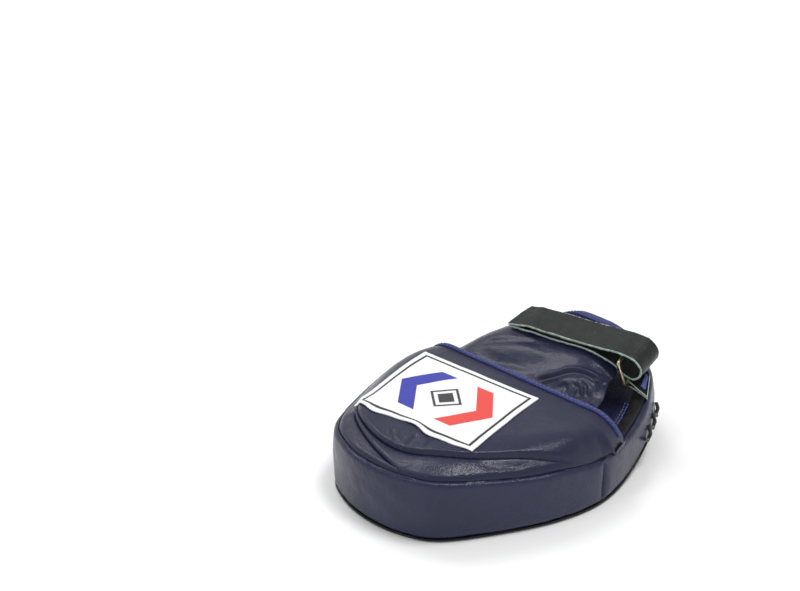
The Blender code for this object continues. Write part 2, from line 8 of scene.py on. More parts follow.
import bpy
import numpy as np
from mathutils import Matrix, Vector


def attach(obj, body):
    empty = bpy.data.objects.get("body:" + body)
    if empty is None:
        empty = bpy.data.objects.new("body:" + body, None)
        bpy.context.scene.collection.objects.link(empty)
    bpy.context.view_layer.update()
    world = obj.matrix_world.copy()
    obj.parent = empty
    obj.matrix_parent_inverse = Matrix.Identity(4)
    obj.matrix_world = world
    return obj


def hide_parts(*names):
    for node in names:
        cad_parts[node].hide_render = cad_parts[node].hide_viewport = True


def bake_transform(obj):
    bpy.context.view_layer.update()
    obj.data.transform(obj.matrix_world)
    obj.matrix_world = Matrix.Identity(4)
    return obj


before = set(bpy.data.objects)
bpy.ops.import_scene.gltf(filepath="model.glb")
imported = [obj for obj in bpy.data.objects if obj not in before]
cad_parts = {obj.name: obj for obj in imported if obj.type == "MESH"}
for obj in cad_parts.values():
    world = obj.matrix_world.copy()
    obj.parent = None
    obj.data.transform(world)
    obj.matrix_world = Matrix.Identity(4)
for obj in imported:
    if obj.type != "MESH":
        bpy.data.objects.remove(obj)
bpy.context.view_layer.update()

# ---- Dimensions shared with the CAD source --------------------------------------------------------------
GAP = 0.0003
LEATHER = 0.0018
BEND = math.radians(15)
BEND_START, BEND_END = 0.0066, 0.0494
HALF_OUTLINE = (
    (0.0000, -0.1390), (0.0300, -0.1340), (0.0550, -0.1190), (0.0780, -0.0800), (0.0945, -0.0400),
    (0.1000, -0.0020), (0.0925, 0.0400), (0.0796, 0.0800), (0.0600, 0.1110), (0.0320, 0.1310),
    (0.0000, 0.1380),
)
WALL_HEIGHTS = ((-0.139, 0.0480), (-0.05, 0.0415), (0.0, 0.0365), (0.08, 0.0305), (0.138, 0.0310))
PALM_HEIGHTS = ((-0.139, 0.0380), (-0.05, 0.0330), (0.0, 0.0270), (0.08, 0.0230), (0.138, 0.0240))
PALM_RIM = 0.018
FACE_WRAP = 0.0024
DISC_RADIUS, DISC_CENTRE, DISC_DEPTH = 0.0365, 0.022, 0.0011
POCKET_MOUTH, POCKET_SKEW = 0.0265, 0.06
POCKET_TOP = ((-0.139, 0.0555), (-0.09, 0.0590), (-0.04, 0.0580), (0.0265, 0.0545))
COVER = 0.0020
CUFF_START, CUFF_END = 0.006, 0.1240
CUFF_TOP = ((0.0, 0.0478), (0.033, 0.0490), (0.065, 0.0545), (0.09, 0.0540), (0.125, 0.0530))
CUFF_INSET, CUFF_EDGE_DROP = 0.0045, 0.0100
CUFF_FREE_EDGE = ((0.0, 0.0620), (0.055, 0.0580), (0.08, 0.0485), (0.1, 0.0420), (0.125, 0.0400))
BINDING_LEG = 0.0050
LABEL_LENGTH, LABEL_WIDTH = 0.1095, 0.0960
LABEL_CENTRE = (-0.0115, -0.0494)
LABEL_TURN, LABEL_SKEW = math.radians(6), math.radians(13)
STRAP_WIDTH, STRAP_THICKNESS = 0.0265, 0.0018
STRAP_TURN, STRAP_CENTRE = math.radians(8), 0.0962
PATCH = 0.0008
WIRE = 0.0014
RING_FOOT, RING_HEAD, RING_WIDTH = (0.0525, 0.0335), (0.0485, 0.0555), 0.0340
RUN_ENDS = (-0.0560, 0.0300)
KEEPER_REACH, KEEPER_WIDTH, KEEPER_SLANT, KEEPER_SPLAY = 0.0160, 0.0240, -0.58, 30.0
LOOP_ROUTE = (
    (0.0440, 0.0480), (0.0500, 0.0418), (0.0570, 0.0396), (0.0635, 0.0440), (0.0655, 0.0515),
    (0.0620, 0.0580), (0.0560, 0.0610),
)
TAIL_START = ((0.0540, 0.0614), (0.0420, 0.0618), (0.0280, 0.0612))


# ---- Layout ---------------------------------------------------------------------------------------------
def smooth(t):
    t = np.clip(t, 0.0, 1.0)
    return t * t * (3 - 2 * t)


def along(stations, s):
    s = np.asarray(s, float)
    value = np.full(s.shape, stations[0][1])
    for (s0, v0), (s1, v1) in zip(stations, stations[1:]):
        value = np.where(s > s0, v0 + (v1 - v0) * smooth((s - s0) / (s1 - s0)), value)
    return value


def place(x, s, h):
    """World points of layout points, as an array whose last side is 3."""
    x, s, h = np.broadcast_arrays(*(np.asarray(v, float) for v in (x, s, h)))
    radius = (BEND_END - BEND_START) / BEND
    turn = np.clip((s - BEND_START) / radius, 0.0, BEND)
    beyond = np.maximum(0.0, s - BEND_END)
    y = np.minimum(s, BEND_START) + radius * np.sin(turn) + beyond * math.cos(BEND)
    z = radius * (1 - np.cos(turn)) + beyond * math.sin(BEND)
    return np.stack((x, y - h * np.sin(turn), z + h * np.cos(turn)), -1)


def strap_layout(a, b):
    """Layout x and s of a point a along the strap and b across it."""
    x = a * math.cos(STRAP_TURN) - b * math.sin(STRAP_TURN)
    return x, STRAP_CENTRE + a * math.sin(STRAP_TURN) + b * math.cos(STRAP_TURN)


def strap_place(a, b, h):
    x, s = strap_layout(np.asarray(a, float), np.asarray(b, float))
    return place(x, s, h)


def curve(points, count, first=None, last=None):
    """count + 1 evenly spaced points on a Catmull-Rom curve through points."""
    ends = np.array([first or points[0], *points, last or points[-1]], float)
    t = np.linspace(0, 1, 40, endpoint=False)[:, None]
    fine = []
    for k in range(len(points) - 1):
        a, b, c, d = ends[k:k + 4]
        fine.append(0.5 * (2 * b + (c - a) * t + (2 * a - 5 * b + 4 * c - d) * t ** 2
                           + (3 * b - a - 3 * c + d) * t ** 3))
    fine = np.vstack([*fine, ends[-2][None]])
    return resample(fine, count)


def resample(points, count):
    points = np.asarray(points, float)
    steps = np.linalg.norm(np.diff(points, axis=0), axis=1)
    length = np.concatenate(([0.0], np.cumsum(steps)))
    wanted = np.linspace(0, length[-1], count + 1)
    return np.stack([np.interp(wanted, length, points[:, k]) for k in range(points.shape[1])], -1)


SIDE = 150
second, before_last = HALF_OUTLINE[1], HALF_OUTLINE[-2]
RIGHT = curve(HALF_OUTLINE, SIDE, (-second[0], second[1]), (-before_last[0], before_last[1]))
OUTLINE = np.vstack([RIGHT, (RIGHT[1:-1] * (-1, 1))[::-1]])
TANGENT = np.roll(OUTLINE, -1, 0) - np.roll(OUTLINE, 1, 0)
TANGENT /= np.linalg.norm(TANGENT, axis=1)[:, None]
INWARD = np.stack((-TANGENT[:, 1], TANGENT[:, 0]), -1)


def half_width(s):
    return np.interp(s, RIGHT[:, 1], RIGHT[:, 0])


def path_distance(x, s, path):
    """Distance from layout points to a polyline, and how far along it (0 to 1) the nearest point is."""
    path = np.asarray(path, float)
    steps = np.linalg.norm(np.diff(path, axis=0), axis=1)
    start = np.concatenate(([0.0], np.cumsum(steps)))
    best = np.full(np.shape(x), 9.0)
    at = np.zeros(np.shape(x))
    for k, length in enumerate(steps):
        dx, ds = (path[k + 1] - path[k])
        t = np.clip(((x - path[k][0]) * dx + (s - path[k][1]) * ds) / length ** 2, 0, 1)
        d = np.hypot(x - path[k][0] - t * dx, s - path[k][1] - t * ds)
        nearer = d < best
        at = np.where(nearer, (start[k] + t * length) / start[-1], at)
        best = np.where(nearer, d, best)
    return best, at


def edge_distance(x, s):
    return path_distance(x, s, np.vstack([OUTLINE[::2], OUTLINE[:1]]))[0]


def wall_height(s):
    return along(WALL_HEIGHTS, s)


def palm_surface(x, s):
    slope = smooth((edge_distance(x, s) - LEATHER - GAP) / PALM_RIM)
    rim = wall_height(s) - 2 * GAP
    return rim + (along(PALM_HEIGHTS, s) - rim) * slope


def bulge(distance, reach):
    return 1 - (1 - np.clip(distance / reach, 0, 1)) ** 2.6


# ---- Noise and creases ------------------------------------------------------------------------------------
LATTICE = np.random.default_rng(11).uniform(-1, 1, (64, 64))


def noise(u, v, octaves=3):
    """Smooth value noise between about -1 and 1; one lattice cell is one unit."""
    total, gain = 0.0, 1.0
    for octave in range(octaves):
        fu, fv = u * 2 ** octave + 7.3 * octave, v * 2 ** octave + 3.1 * octave
        iu, iv = np.floor(fu).astype(int), np.floor(fv).astype(int)
        tu, tv = smooth(fu - iu), smooth(fv - iv)
        c = [[LATTICE[(iu + a) % 64, (iv + b) % 64] for b in (0, 1)] for a in (0, 1)]
        low = c[0][0] + (c[0][1] - c[0][0]) * tv
        high = c[1][0] + (c[1][1] - c[1][0]) * tv
        total = total + gain * (low + (high - low) * tu)
        gain *= 0.5
    return total


def crease(x, s, path, depth, width, lip=0.6, fade=0.25):
    """Height change of a crease along a path: a groove with a soft lip at both sides."""
    d, t = path_distance(x, s, curve(path, 24))
    end = smooth(t / fade) * smooth((1 - t) / fade)
    groove = np.exp(-(d / width) ** 2)
    lips = np.exp(-((d - 1.9 * width) / (1.1 * width)) ** 2)
    return depth * end * (lip * lips - groove)


def fold(x, s, path, height, width, fade=0.3):
    """Height change of a raised soft fold along a path."""
    d, t = path_distance(x, s, curve(path, 24))
    end = smooth(t / fade) * smooth((1 - t) / fade)
    return height * end * np.exp(-(d / width) ** 2)


def mm(*points):
    return [(x / 1000, s / 1000) for x, s in points]


# Crease paths: a few round millimetre points each, chosen to follow the folds seen in the photograph.
POCKET_FOLD = mm((-64, -84), (-45, -105), (-10, -118), (20, -115), (50, -92), (75, -56), (90, -33), (97, -12))
TIP_FOLD = mm((-50, -104), (-35, -114), (-10, -124), (12, -129), (32, -131))


SEAM_INSET = 0.0034


def seam_inset(s):
    """How far inside the wall's outline the pocket's edge is sewn down."""
    return SEAM_INSET * smooth((0.012 - s) / 0.012)


def rolled(distance, radius):
    """Depth of a rounded edge: radius at the edge itself, nothing once radius away from it."""
    return radius * (1 - np.sqrt(1 - (1 - np.clip(distance / radius, 0, 1)) ** 2))


def overhang(x, s, path, rise, fall, inner=0.011, outer=0.007):
    """Height change where padded leather hangs over the band outside a crease."""
    route = curve(path, 48)
    d, t = path_distance(x, s, route)
    line = edge_distance(route[:, 0], route[:, 1])
    inside = edge_distance(x, s) > np.interp(t, np.linspace(0, 1, len(route)), line)
    end = smooth(t / 0.08) * smooth((1 - t) / 0.05)
    shaped = np.where(inside, rise * (np.exp(-d / inner) - rolled(d, 0.0022) / 0.0022), -fall * np.exp(-d / outer))
    return end * (shaped - np.where(inside, 0.0, 0.0012) * np.exp(-(d / 0.0009) ** 2))


def pocket_top(x, s):
    """Outer surface of the finger pocket with its folds."""
    edge = edge_distance(x, s)
    foot = wall_height(s) + GAP + COVER
    reach = 0.046 - 0.020 * smooth((s + 0.09) / 0.09)
    seat = seam_inset(s)
    from_seam = edge - seat * (1 - smooth((edge - seat) / 0.014))
    h = foot + (along(POCKET_TOP, s) - foot) * bulge(np.maximum(from_seam, 0.0), reach)
    free = smooth((0.018 - s) / 0.02)
    h -= rolled(edge - seat, 0.0032)
    held = smooth((edge - SEAM_INSET) / 0.0060)
    h += held * overhang(x, s, POCKET_FOLD, 0.0023, 0.0016)
    h += held * overhang(x, s, TIP_FOLD, 0.0013, 0.0011, 0.006, 0.004)
    h += free * (
        crease(x, s, mm((12, -99), (14, -107), (17, -115)), 0.0006, 0.0020, 0.15)
        + crease(x, s, mm((22, -95), (26, -102), (28, -109)), 0.0005, 0.0022, 0.15)
        + crease(x, s, mm((-6, -107), (3, -114), (10, -117)), 0.0007, 0.0013, 0.5)
        + crease(x, s, mm((58, -91), (70, -74), (81, -58)), 0.0005, 0.0030, 0.7)
    )
    h += 0.00030 * noise(x * 22, s * 22, 2) * smooth(edge / 0.01) * free
    h += 0.00009 * noise(x * 120 + 9, s * 120, 2) * smooth(edge / 0.004) * free
    pucker = np.exp(-((POCKET_MOUTH + POCKET_SKEW * x - s) / 0.010) ** 2)
    return h + 0.00025 * pucker * noise(x * 170, s * 12, 1)


def cuff_free_edge(s):
    return along(CUFF_FREE_EDGE, s)


def cuff_top(x, s):
    """Outer surface of the hand cover with its folds."""
    foot = wall_height(s) + GAP + COVER
    top = along(CUFF_TOP, s)
    far = foot + (top - foot) * bulge(half_width(s) + x - CUFF_INSET, 0.036)
    start = cuff_free_edge(s) - 0.030
    near = top - CUFF_EDGE_DROP * np.maximum(0.0, (x - start) / 0.030) ** 2
    h = np.where(x < 0, far, near)
    under_strap = np.exp(-((s - STRAP_CENTRE - 0.14 * x) / 0.016) ** 4)
    loose = 1 - under_strap
    h += loose * (
        fold(x, s, mm((-58, 40), (-32, 54), (-6, 66), (17, 76), (40, 82)), 0.0012, 0.0095)
        + fold(x, s, mm((-46, 22), (-14, 36), (14, 50), (34, 60)), 0.0009, 0.0080)
        + crease(x, s, mm((-56, 27), (-34, 38), (-9, 52), (8, 62)), 0.0005, 0.0065, 0.3)
        + crease(x, s, mm((6, 36), (18, 50), (26, 60), (38, 66), (52, 70)), 0.0018, 0.0018,
                 1.0, 0.2)
        + fold(x, s, mm((10, 34), (20, 44), (34, 54), (50, 58)), 0.0014, 0.0060)
        + crease(x, s, mm((27, 40), (31, 48), (36, 38)), 0.0013, 0.0014, 0.4)
        + crease(x, s, mm((35, 51), (40, 52), (44, 46)), 0.0015, 0.0014, 0.5)
        + crease(x, s, mm((38, 55), (43, 56), (48, 50)), 0.0013, 0.0014, 0.5)
        + crease(x, s, mm((-62, 50), (-40, 62), (-16, 74)), 0.0007, 0.0034, 0.5)
        + crease(x, s, mm((46, 76), (50, 66), (54, 54)), 0.0007, 0.0024, 0.6)
    )
    h += 0.00016 * noise(x * 22 + 4, s * 30) * loose
    h += 0.00014 * noise(x * 120, s * 160 + 5, 2)
    return h


# ---- Mesh helpers -----------------------------------------------------------------------------------------
BODY_PAD, BODY_RING, BODY_TAIL = "pad", "ring", "strap_tail"


def make(name, verts, faces, mats, indices=None, uvs=None, body=BODY_PAD, replaces=(), angle=55):
    """Put a mesh in the scene, riding on a body (unless body is None) and standing for CAD nodes."""
    mesh = bpy.data.meshes.new(name)
    mesh.from_pydata([tuple(v) for v in np.asarray(verts, float)], [], [tuple(map(int, f)) for f in faces])
    for mat in (mats if isinstance(mats, (list, tuple)) else [mats]):
        mesh.materials.append(mat)
    if indices is not None:
        mesh.polygons.foreach_set("material_index", np.asarray(indices, np.int32))
    if uvs is not None:
        layer = mesh.uv_layers.new(name="layout")
        loops = np.zeros(len(mesh.loops), np.int32)
        mesh.loops.foreach_get("vertex_index", loops)
        layer.data.foreach_set("uv", np.asarray(uvs, float)[loops].ravel())
    mesh.validate()
    mesh.shade_smooth()
    mesh.set_sharp_from_angle(angle=math.radians(angle))
    obj = bpy.data.objects.new(name, mesh)
    bpy.context.scene.collection.objects.link(obj)
    if body:
        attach(obj, body)
    if replaces:
        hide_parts(*replaces)
    return obj


def loft(loops, closed_ring=True, cap=True):
    """Vertices and faces through a row of loops.  Each loop is an (n, 3) array."""
    loops = [np.asarray(loop, float) for loop in loops]
    size = len(loops[0])
    verts = np.vstack(loops)
    faces = []
    last = size if closed_ring else size - 1
    for i in range(len(loops) - 1):
        a, b = i * size, (i + 1) * size
        for k in range(last):
            m = (k + 1) % size
            faces.append((a + k, a + m, b + m, b + k))
    if cap:
        centres = np.vstack([loops[0].mean(0), loops[-1].mean(0)])
        low, high = len(verts), len(verts) + 1
        verts = np.vstack([verts, centres])
        base = (len(loops) - 1) * size
        for k in range(size):
            m = (k + 1) % size
            faces.append((low, m, k))
            faces.append((high, base + k, base + m))
    return verts, faces


def thick_grid(top, under):
    """A closed sheet from two matching grids of points, joined round their rim by one strip of faces."""
    n, m = top.shape[:2]
    verts = np.vstack([top.reshape(-1, 3), under.reshape(-1, 3)])
    half = n * m
    faces = []
    for i in range(n - 1):
        for j in range(m - 1):
            a, b, c, d = i * m + j, i * m + j + 1, (i + 1) * m + j + 1, (i + 1) * m + j
            faces.append((a, b, c, d))
            faces.append((half + a, half + d, half + c, half + b))
    rim = [j for j in range(m - 1)] + [i * m + m - 1 for i in range(n - 1)]
    rim += [(n - 1) * m + j for j in range(m - 1, 0, -1)] + [i * m for i in range(n - 1, 0, -1)]
    for a, b in zip(rim, rim[1:] + rim[:1]):
        faces.append((a, half + a, half + b, b))
    return verts, faces


def surface_normals(grid):
    du = np.gradient(grid, axis=0)
    dv = np.gradient(grid, axis=1)
    n = np.cross(dv, du)
    n /= np.maximum(np.linalg.norm(n, axis=-1), 1e-12)[..., None]
    return np.where(n[..., 2:3] < 0, -n, n)


def tube_faces(path, radius, sides, closed=False, up=(0, -math.sin(BEND), math.cos(BEND))):
    path = np.asarray(path, float)
    before = np.roll(path, 1, 0) if closed else np.vstack([path[:1], path[:-1]])
    after = np.roll(path, -1, 0) if closed else np.vstack([path[1:], path[-1:]])
    t = after - before
    t /= np.linalg.norm(t, axis=1)[:, None]
    side = np.cross(t, np.asarray(up, float))
    side /= np.linalg.norm(side, axis=1)[:, None]
    top = np.cross(side, t)
    turn = np.linspace(0, 2 * math.pi, sides, endpoint=False)
    radius = np.broadcast_to(radius, (len(path),))
    loops = [p + (np.cos(turn)[:, None] * a + np.sin(turn)[:, None] * b) * r
             for p, a, b, r in zip(path, side, top, radius)]
    if closed:
        loops.append(loops[0])
        verts, faces = loft(loops, cap=False)
        size = (len(loops) - 1) * sides
        faces = [tuple(v % size if v >= size else v for v in f) for f in faces]
        return verts[:size], faces
    return loft(loops)


def stitches(name, path, normals, pitch, length, radius, mat, body=BODY_PAD, lift=0.3, slant=0.0):
    """A row of thread stitches on a surface."""
    path = np.asarray(path, float)
    steps = np.linalg.norm(np.diff(path, axis=0), axis=1)
    run = np.concatenate(([0.0], np.cumsum(steps)))
    count = max(1, int(run[-1] / pitch))
    centres = (np.arange(count) + 0.5) * run[-1] / count
    u = np.linspace(-1, 1, 7)
    turn = np.linspace(0, 2 * math.pi, 6, endpoint=False)
    all_verts, all_faces, base = [], [], 0
    for c in centres:
        p = np.array([np.interp(c, run, path[:, k]) for k in range(3)])
        q = np.array([np.interp(c + 0.2 * pitch, run, path[:, k]) for k in range(3)])
        n = np.array([np.interp(c, run, normals[:, k]) for k in range(3)])
        n /= np.linalg.norm(n)
        t = q - p
        if np.linalg.norm(t) < 1e-9:
            q = np.array([np.interp(c - 0.2 * pitch, run, path[:, k]) for k in range(3)])
            t = p - q
        t /= np.linalg.norm(t)
        b = np.cross(n, t)
        t = t * math.cos(slant) + b * math.sin(slant)
        b = np.cross(n, t)
        loops = []
        for v in u:
            r = radius * math.sqrt(max(0.05, 1 - (0.97 * v) ** 2))
            mid = p + t * v * length / 2 + n * radius * (lift + 0.55 - 1.1 * v * v)
            loops.append(mid + (np.cos(turn)[:, None] * b + np.sin(turn)[:, None] * n) * r)
        verts, faces = loft(loops)
        all_verts.append(verts)
        all_faces += [tuple(i + base for i in f) for f in faces]
        base += len(verts)
    return make(name, np.vstack(all_verts), all_faces, mat, body=body, angle=80)


# ---- Materials --------------------------------------------------------------------------------------------
class Nodes:
    """A Principled material built in code."""

    def __init__(self, name, colour, roughness, metallic=0.0, coat=0.0, coat_roughness=0.1, sheen=0.0,
                 specular=0.5):
        self.mat = bpy.data.materials.new(name)
        self.mat.use_nodes = True
        self.tree = self.mat.node_tree
        self.bsdf = self.tree.nodes["Principled BSDF"]
        self.set("Base Color", (*colour, 1.0))
        self.set("Roughness", roughness)
        self.set("Metallic", metallic)
        self.set("Coat Weight", coat)
        self.set("Coat Roughness", coat_roughness)
        self.set("Sheen Weight", sheen)
        self.set("Specular IOR Level", specular)
        self.coord = self.add("ShaderNodeTexCoord")

    def set(self, name, value):
        self.bsdf.inputs[name].default_value = value

    def add(self, kind, **values):
        node = self.tree.nodes.new(kind)
        for key, value in values.items():
            if hasattr(node, key):
                setattr(node, key, value)
            else:
                node.inputs[key.replace("_", " ")].default_value = value
        return node

    def link(self, a, b):
        self.tree.links.new(a, b)

    def noise(self, scale, detail=3.0, rough=0.55, stretch=None, output="Object"):
        node = self.add("ShaderNodeTexNoise", Scale=scale, Detail=detail, Roughness=rough)
        self.link(self.scaled(stretch, output), node.inputs["Vector"])
        return node.outputs["Fac"]

    def scaled(self, stretch, output="Object"):
        if stretch is None:
            return self.coord.outputs[output]
        node = self.add("ShaderNodeMapping")
        node.inputs["Scale"].default_value = stretch
        self.link(self.coord.outputs[output], node.inputs["Vector"])
        return node.outputs["Vector"]

    def voronoi(self, scale, feature="DISTANCE_TO_EDGE", stretch=None):
        node = self.add("ShaderNodeTexVoronoi")
        node.feature = feature
        node.inputs["Scale"].default_value = scale
        self.link(self.scaled(stretch), node.inputs["Vector"])
        return node.outputs["Distance"]

    def ramp(self, value, stops):
        node = self.add("ShaderNodeValToRGB")
        while len(node.color_ramp.elements) < len(stops):
            node.color_ramp.elements.new(0.5)
        for element, (at, colour) in zip(node.color_ramp.elements, stops):
            element.position = at
            element.color = (*colour, 1.0) if hasattr(colour, "__len__") else (colour, colour, colour, 1.0)
        self.link(value, node.inputs["Fac"])
        return node.outputs["Color"]

    def math(self, operation, a, b=None, c=None):
        node = self.add("ShaderNodeMath")
        node.operation = operation
        for socket, value in zip(node.inputs, (a, b, c)):
            if value is None:
                continue
            if isinstance(value, (int, float)):
                socket.default_value = value
            else:
                self.link(value, socket)
        return node.outputs["Value"]

    def mix(self, fac, a, b):
        node = self.add("ShaderNodeMix")
        node.data_type = "RGBA"
        for socket, value in ((node.inputs[0], fac), (node.inputs[6], a), (node.inputs[7], b)):
            if isinstance(value, (int, float)):
                socket.default_value = value
            elif isinstance(value, tuple):
                socket.default_value = (*value, 1.0)
            else:
                self.link(value, socket)
        return node.outputs[2]

    def bump(self, height, strength, distance, under=None):
        node = self.add("ShaderNodeBump", Strength=strength, Distance=distance)
        self.link(height, node.inputs["Height"])
        if under is not None:
            self.link(under, node.inputs["Normal"])
        return node.outputs["Normal"]


def leather(name, colour, light, roughness=(0.40, 0.55), coat=0.52, grain=0.5, crinkle=0.5, coat_roughness=0.13):
    """Finished leather: pebble grain, fine crinkles, slow colour drift and uneven gloss."""
    m = Nodes(name, colour, roughness[0], coat=coat, coat_roughness=coat_roughness, specular=0.12)
    drift = m.noise(14.0, 4.0)
    m.link(m.mix(m.ramp(drift, ((0.32, 0.0), (0.72, 1.0))), colour, light), m.bsdf.inputs["Base Color"])
    gloss = m.noise(46.0, 3.0)
    m.link(m.ramp(gloss, ((0.3, roughness[0]), (0.75, roughness[1]))), m.bsdf.inputs["Roughness"])
    pebble = m.ramp(m.voronoi(950.0), ((0.0, 0.0), (0.16, 1.0)))
    first = m.bump(pebble, grain * 0.35, 0.0003)
    wrinkle = m.ramp(m.voronoi(150.0, stretch=(1.0, 0.75, 1.0)), ((0.0, 0.0), (0.09, 1.0)))
    soft = m.noise(120.0, 5.0, 0.62)
    both = m.math("ADD", m.math("MULTIPLY", wrinkle, 0.35 * crinkle), soft)
    normal = m.bump(both, 0.42 * crinkle, 0.0011, first)
    m.link(normal, m.bsdf.inputs["Normal"])
    m.link(normal, m.bsdf.inputs["Coat Normal"])
    return m.mat


def cloth(name, colour, light, roughness=0.8, scale=1500.0, sheen=0.15, strength=0.6):
    """Woven tape or lining."""
    m = Nodes(name, colour, roughness, sheen=sheen)
    m.link(m.mix(m.ramp(m.noise(60.0), ((0.3, 0.0), (0.7, 1.0))), colour, light), m.bsdf.inputs["Base Color"])
    warp = m.add("ShaderNodeTexWave")
    warp.inputs["Scale"].default_value = scale / 6
    warp.inputs["Distortion"].default_value = 0.4
    weft = m.add("ShaderNodeTexWave")
    weft.bands_direction = "Y"
    weft.inputs["Scale"].default_value = scale / 6
    weft.inputs["Distortion"].default_value = 0.4
    for node in (warp, weft):
        m.link(m.coord.outputs["Object"], node.inputs["Vector"])
    weave = m.math("MAXIMUM", warp.outputs["Fac"], weft.outputs["Fac"])
    m.link(m.bump(weave, strength, 0.0003), m.bsdf.inputs["Normal"])
    return m.mat


def thread(name, colour, light):
    m = Nodes(name, colour, 0.55, sheen=0.3)
    m.link(m.mix(m.ramp(m.noise(900.0, 2.0), ((0.35, 0.0), (0.65, 1.0))), colour, light),
           m.bsdf.inputs["Base Color"])
    m.link(m.bump(m.noise(3200.0, 2.0), 0.4, 0.0002), m.bsdf.inputs["Normal"])
    return m.mat


def raw_edge():
    """Cut edge of split leather: pale, green-grey and fibrous."""
    m = Nodes("raw leather edge", (0.40, 0.52, 0.46), 0.95, sheen=0.3)
    fibre = m.noise(1400.0, 4.0, 0.7)
    colour = m.ramp(fibre, ((0.30, (0.20, 0.27, 0.25)), (0.50, (0.42, 0.55, 0.49)), (0.72, (0.66, 0.76, 0.69))))
    m.link(colour, m.bsdf.inputs["Base Color"])
    m.link(m.bump(fibre, 0.9, 0.0006), m.bsdf.inputs["Normal"])
    return m.mat


def foam(name, colour):
    m = Nodes(name, colour, 0.95)
    cells = m.voronoi(900.0, "F1")
    m.link(m.mix(m.ramp(cells, ((0.1, 0.0), (0.6, 1.0))), tuple(c * 0.75 for c in colour), colour),
           m.bsdf.inputs["Base Color"])
    m.link(m.bump(cells, 0.6, 0.0005), m.bsdf.inputs["Normal"])
    return m.mat


def brass():
    m = Nodes("worn brass plating", (0.62, 0.55, 0.40), 0.30, metallic=1.0)
    wear = m.noise(260.0, 4.0, 0.6)
    m.link(m.ramp(wear, ((0.35, (0.46, 0.36, 0.19)), (0.60, (0.70, 0.62, 0.44)), (0.80, (0.80, 0.78, 0.72)))),
           m.bsdf.inputs["Base Color"])
    m.link(m.ramp(wear, ((0.30, 0.22), (0.80, 0.48))), m.bsdf.inputs["Roughness"])
    m.link(m.bump(m.noise(900.0, 2.0), 0.15, 0.0002), m.bsdf.inputs["Normal"])
    return m.mat


def hook_tape():
    m = Nodes("hook tape", (0.020, 0.020, 0.022), 0.9, sheen=0.3)
    hooks = m.voronoi(1100.0, "F1")
    m.link(m.ramp(hooks, ((0.1, (0.06, 0.06, 0.065)), (0.6, (0.012, 0.012, 0.014)))), m.bsdf.inputs["Base Color"])
    m.link(m.bump(hooks, 1.0, 0.0008), m.bsdf.inputs["Normal"])
    return m.mat


def woven_label():
    """White woven patch: a black outline, and two plain chevrons either side of a diamond."""
    m = Nodes("woven label", (0.88, 0.88, 0.89), 0.72, sheen=0.2)
    split = m.add("ShaderNodeSeparateXYZ")
    m.link(m.coord.outputs["UV"], split.inputs["Vector"])
    u, v = split.outputs["X"], split.outputs["Y"]
    au, av = m.math("ABSOLUTE", u), m.math("ABSOLUTE", v)

    def between(value, low, high):
        return m.math("MULTIPLY", m.math("GREATER_THAN", value, low), m.math("LESS_THAN", value, high))

    half_u, half_v, inset, line = LABEL_LENGTH / 2, LABEL_WIDTH / 2, 0.0040, 0.0021
    to_edge = m.math("MINIMUM", m.math("SUBTRACT", half_u, au), m.math("SUBTRACT", half_v, av))
    border = between(to_edge, inset, inset + line)
    slant = m.math("ADD", u, m.math("MULTIPLY", av, 0.62))
    slant_back = m.math("SUBTRACT", u, m.math("MULTIPLY", av, 0.62))
    tall = m.math("LESS_THAN", av, 0.0300)
    blue = m.math("MULTIPLY", tall, between(slant_back, -0.0430, -0.0280))
    red = m.math("MULTIPLY", tall, between(slant, 0.0280, 0.0430))
    diamond = m.math("ADD", m.math("MULTIPLY", au, 1.1), av)
    centre = m.math("ADD", between(diamond, 0.0135, 0.0165), m.math("LESS_THAN", diamond, 0.0090))
    white = m.mix(m.ramp(m.noise(40.0), ((0.3, 0.0), (0.7, 1.0))), (0.84, 0.84, 0.86), (0.90, 0.90, 0.91))
    colour = m.mix(blue, white, (0.014, 0.020, 0.36))
    colour = m.mix(red, colour, (0.76, 0.045, 0.030))
    colour = m.mix(centre, colour, (0.020, 0.020, 0.025))
    colour = m.mix(border, colour, (0.020, 0.020, 0.025))
    m.link(colour, m.bsdf.inputs["Base Color"])
    rows = m.math("SINE", m.math("MULTIPLY", u, 2 * math.pi / 0.00055))
    columns = m.math("SINE", m.math("MULTIPLY", v, 2 * math.pi / 0.00055))
    weave = m.math("MULTIPLY", rows, columns)
    normal = m.bump(weave, 0.35, 0.0002)
    m.link(m.bump(m.math("MAXIMUM", m.math("MAXIMUM", blue, red), m.math("MAXIMUM", centre, border)), 0.5, 0.0003,
                  normal), m.bsdf.inputs["Normal"])
    return m.mat


NAVY = leather("navy leather", (0.008, 0.009, 0.034), (0.012, 0.014, 0.046))
NAVY_DEEP = leather("navy wall leather", (0.008, 0.010, 0.040), (0.015, 0.018, 0.054), crinkle=0.75)
BLACK = leather("black face leather", (0.004, 0.004, 0.005), (0.008, 0.008, 0.009), (0.26, 0.38), 0.3, 0.7, 0.4)
FACING = leather("black facing leather", (0.007, 0.007, 0.008), (0.016, 0.016, 0.018), (0.40, 0.6), 0.1, 0.7, 0.5)
STRAP = leather("strap leather", (0.009, 0.010, 0.010), (0.019, 0.020, 0.020), (0.34, 0.52), 0.15, 0.8, 0.5)
TAPE = cloth("blue binding tape", (0.006, 0.011, 0.090), (0.013, 0.021, 0.140), 0.45, sheen=0.05)
LINING = cloth("black lining", (0.022, 0.022, 0.024), (0.040, 0.040, 0.042))
RAW = raw_edge()
BLUE_THREAD = thread("light blue thread", (0.050, 0.085, 0.36), (0.10, 0.15, 0.52))
DARK_THREAD = thread("dark thread", (0.012, 0.012, 0.016), (0.040, 0.040, 0.046))
NAVY_THREAD = thread("navy thread", (0.020, 0.022, 0.060), (0.050, 0.055, 0.120))
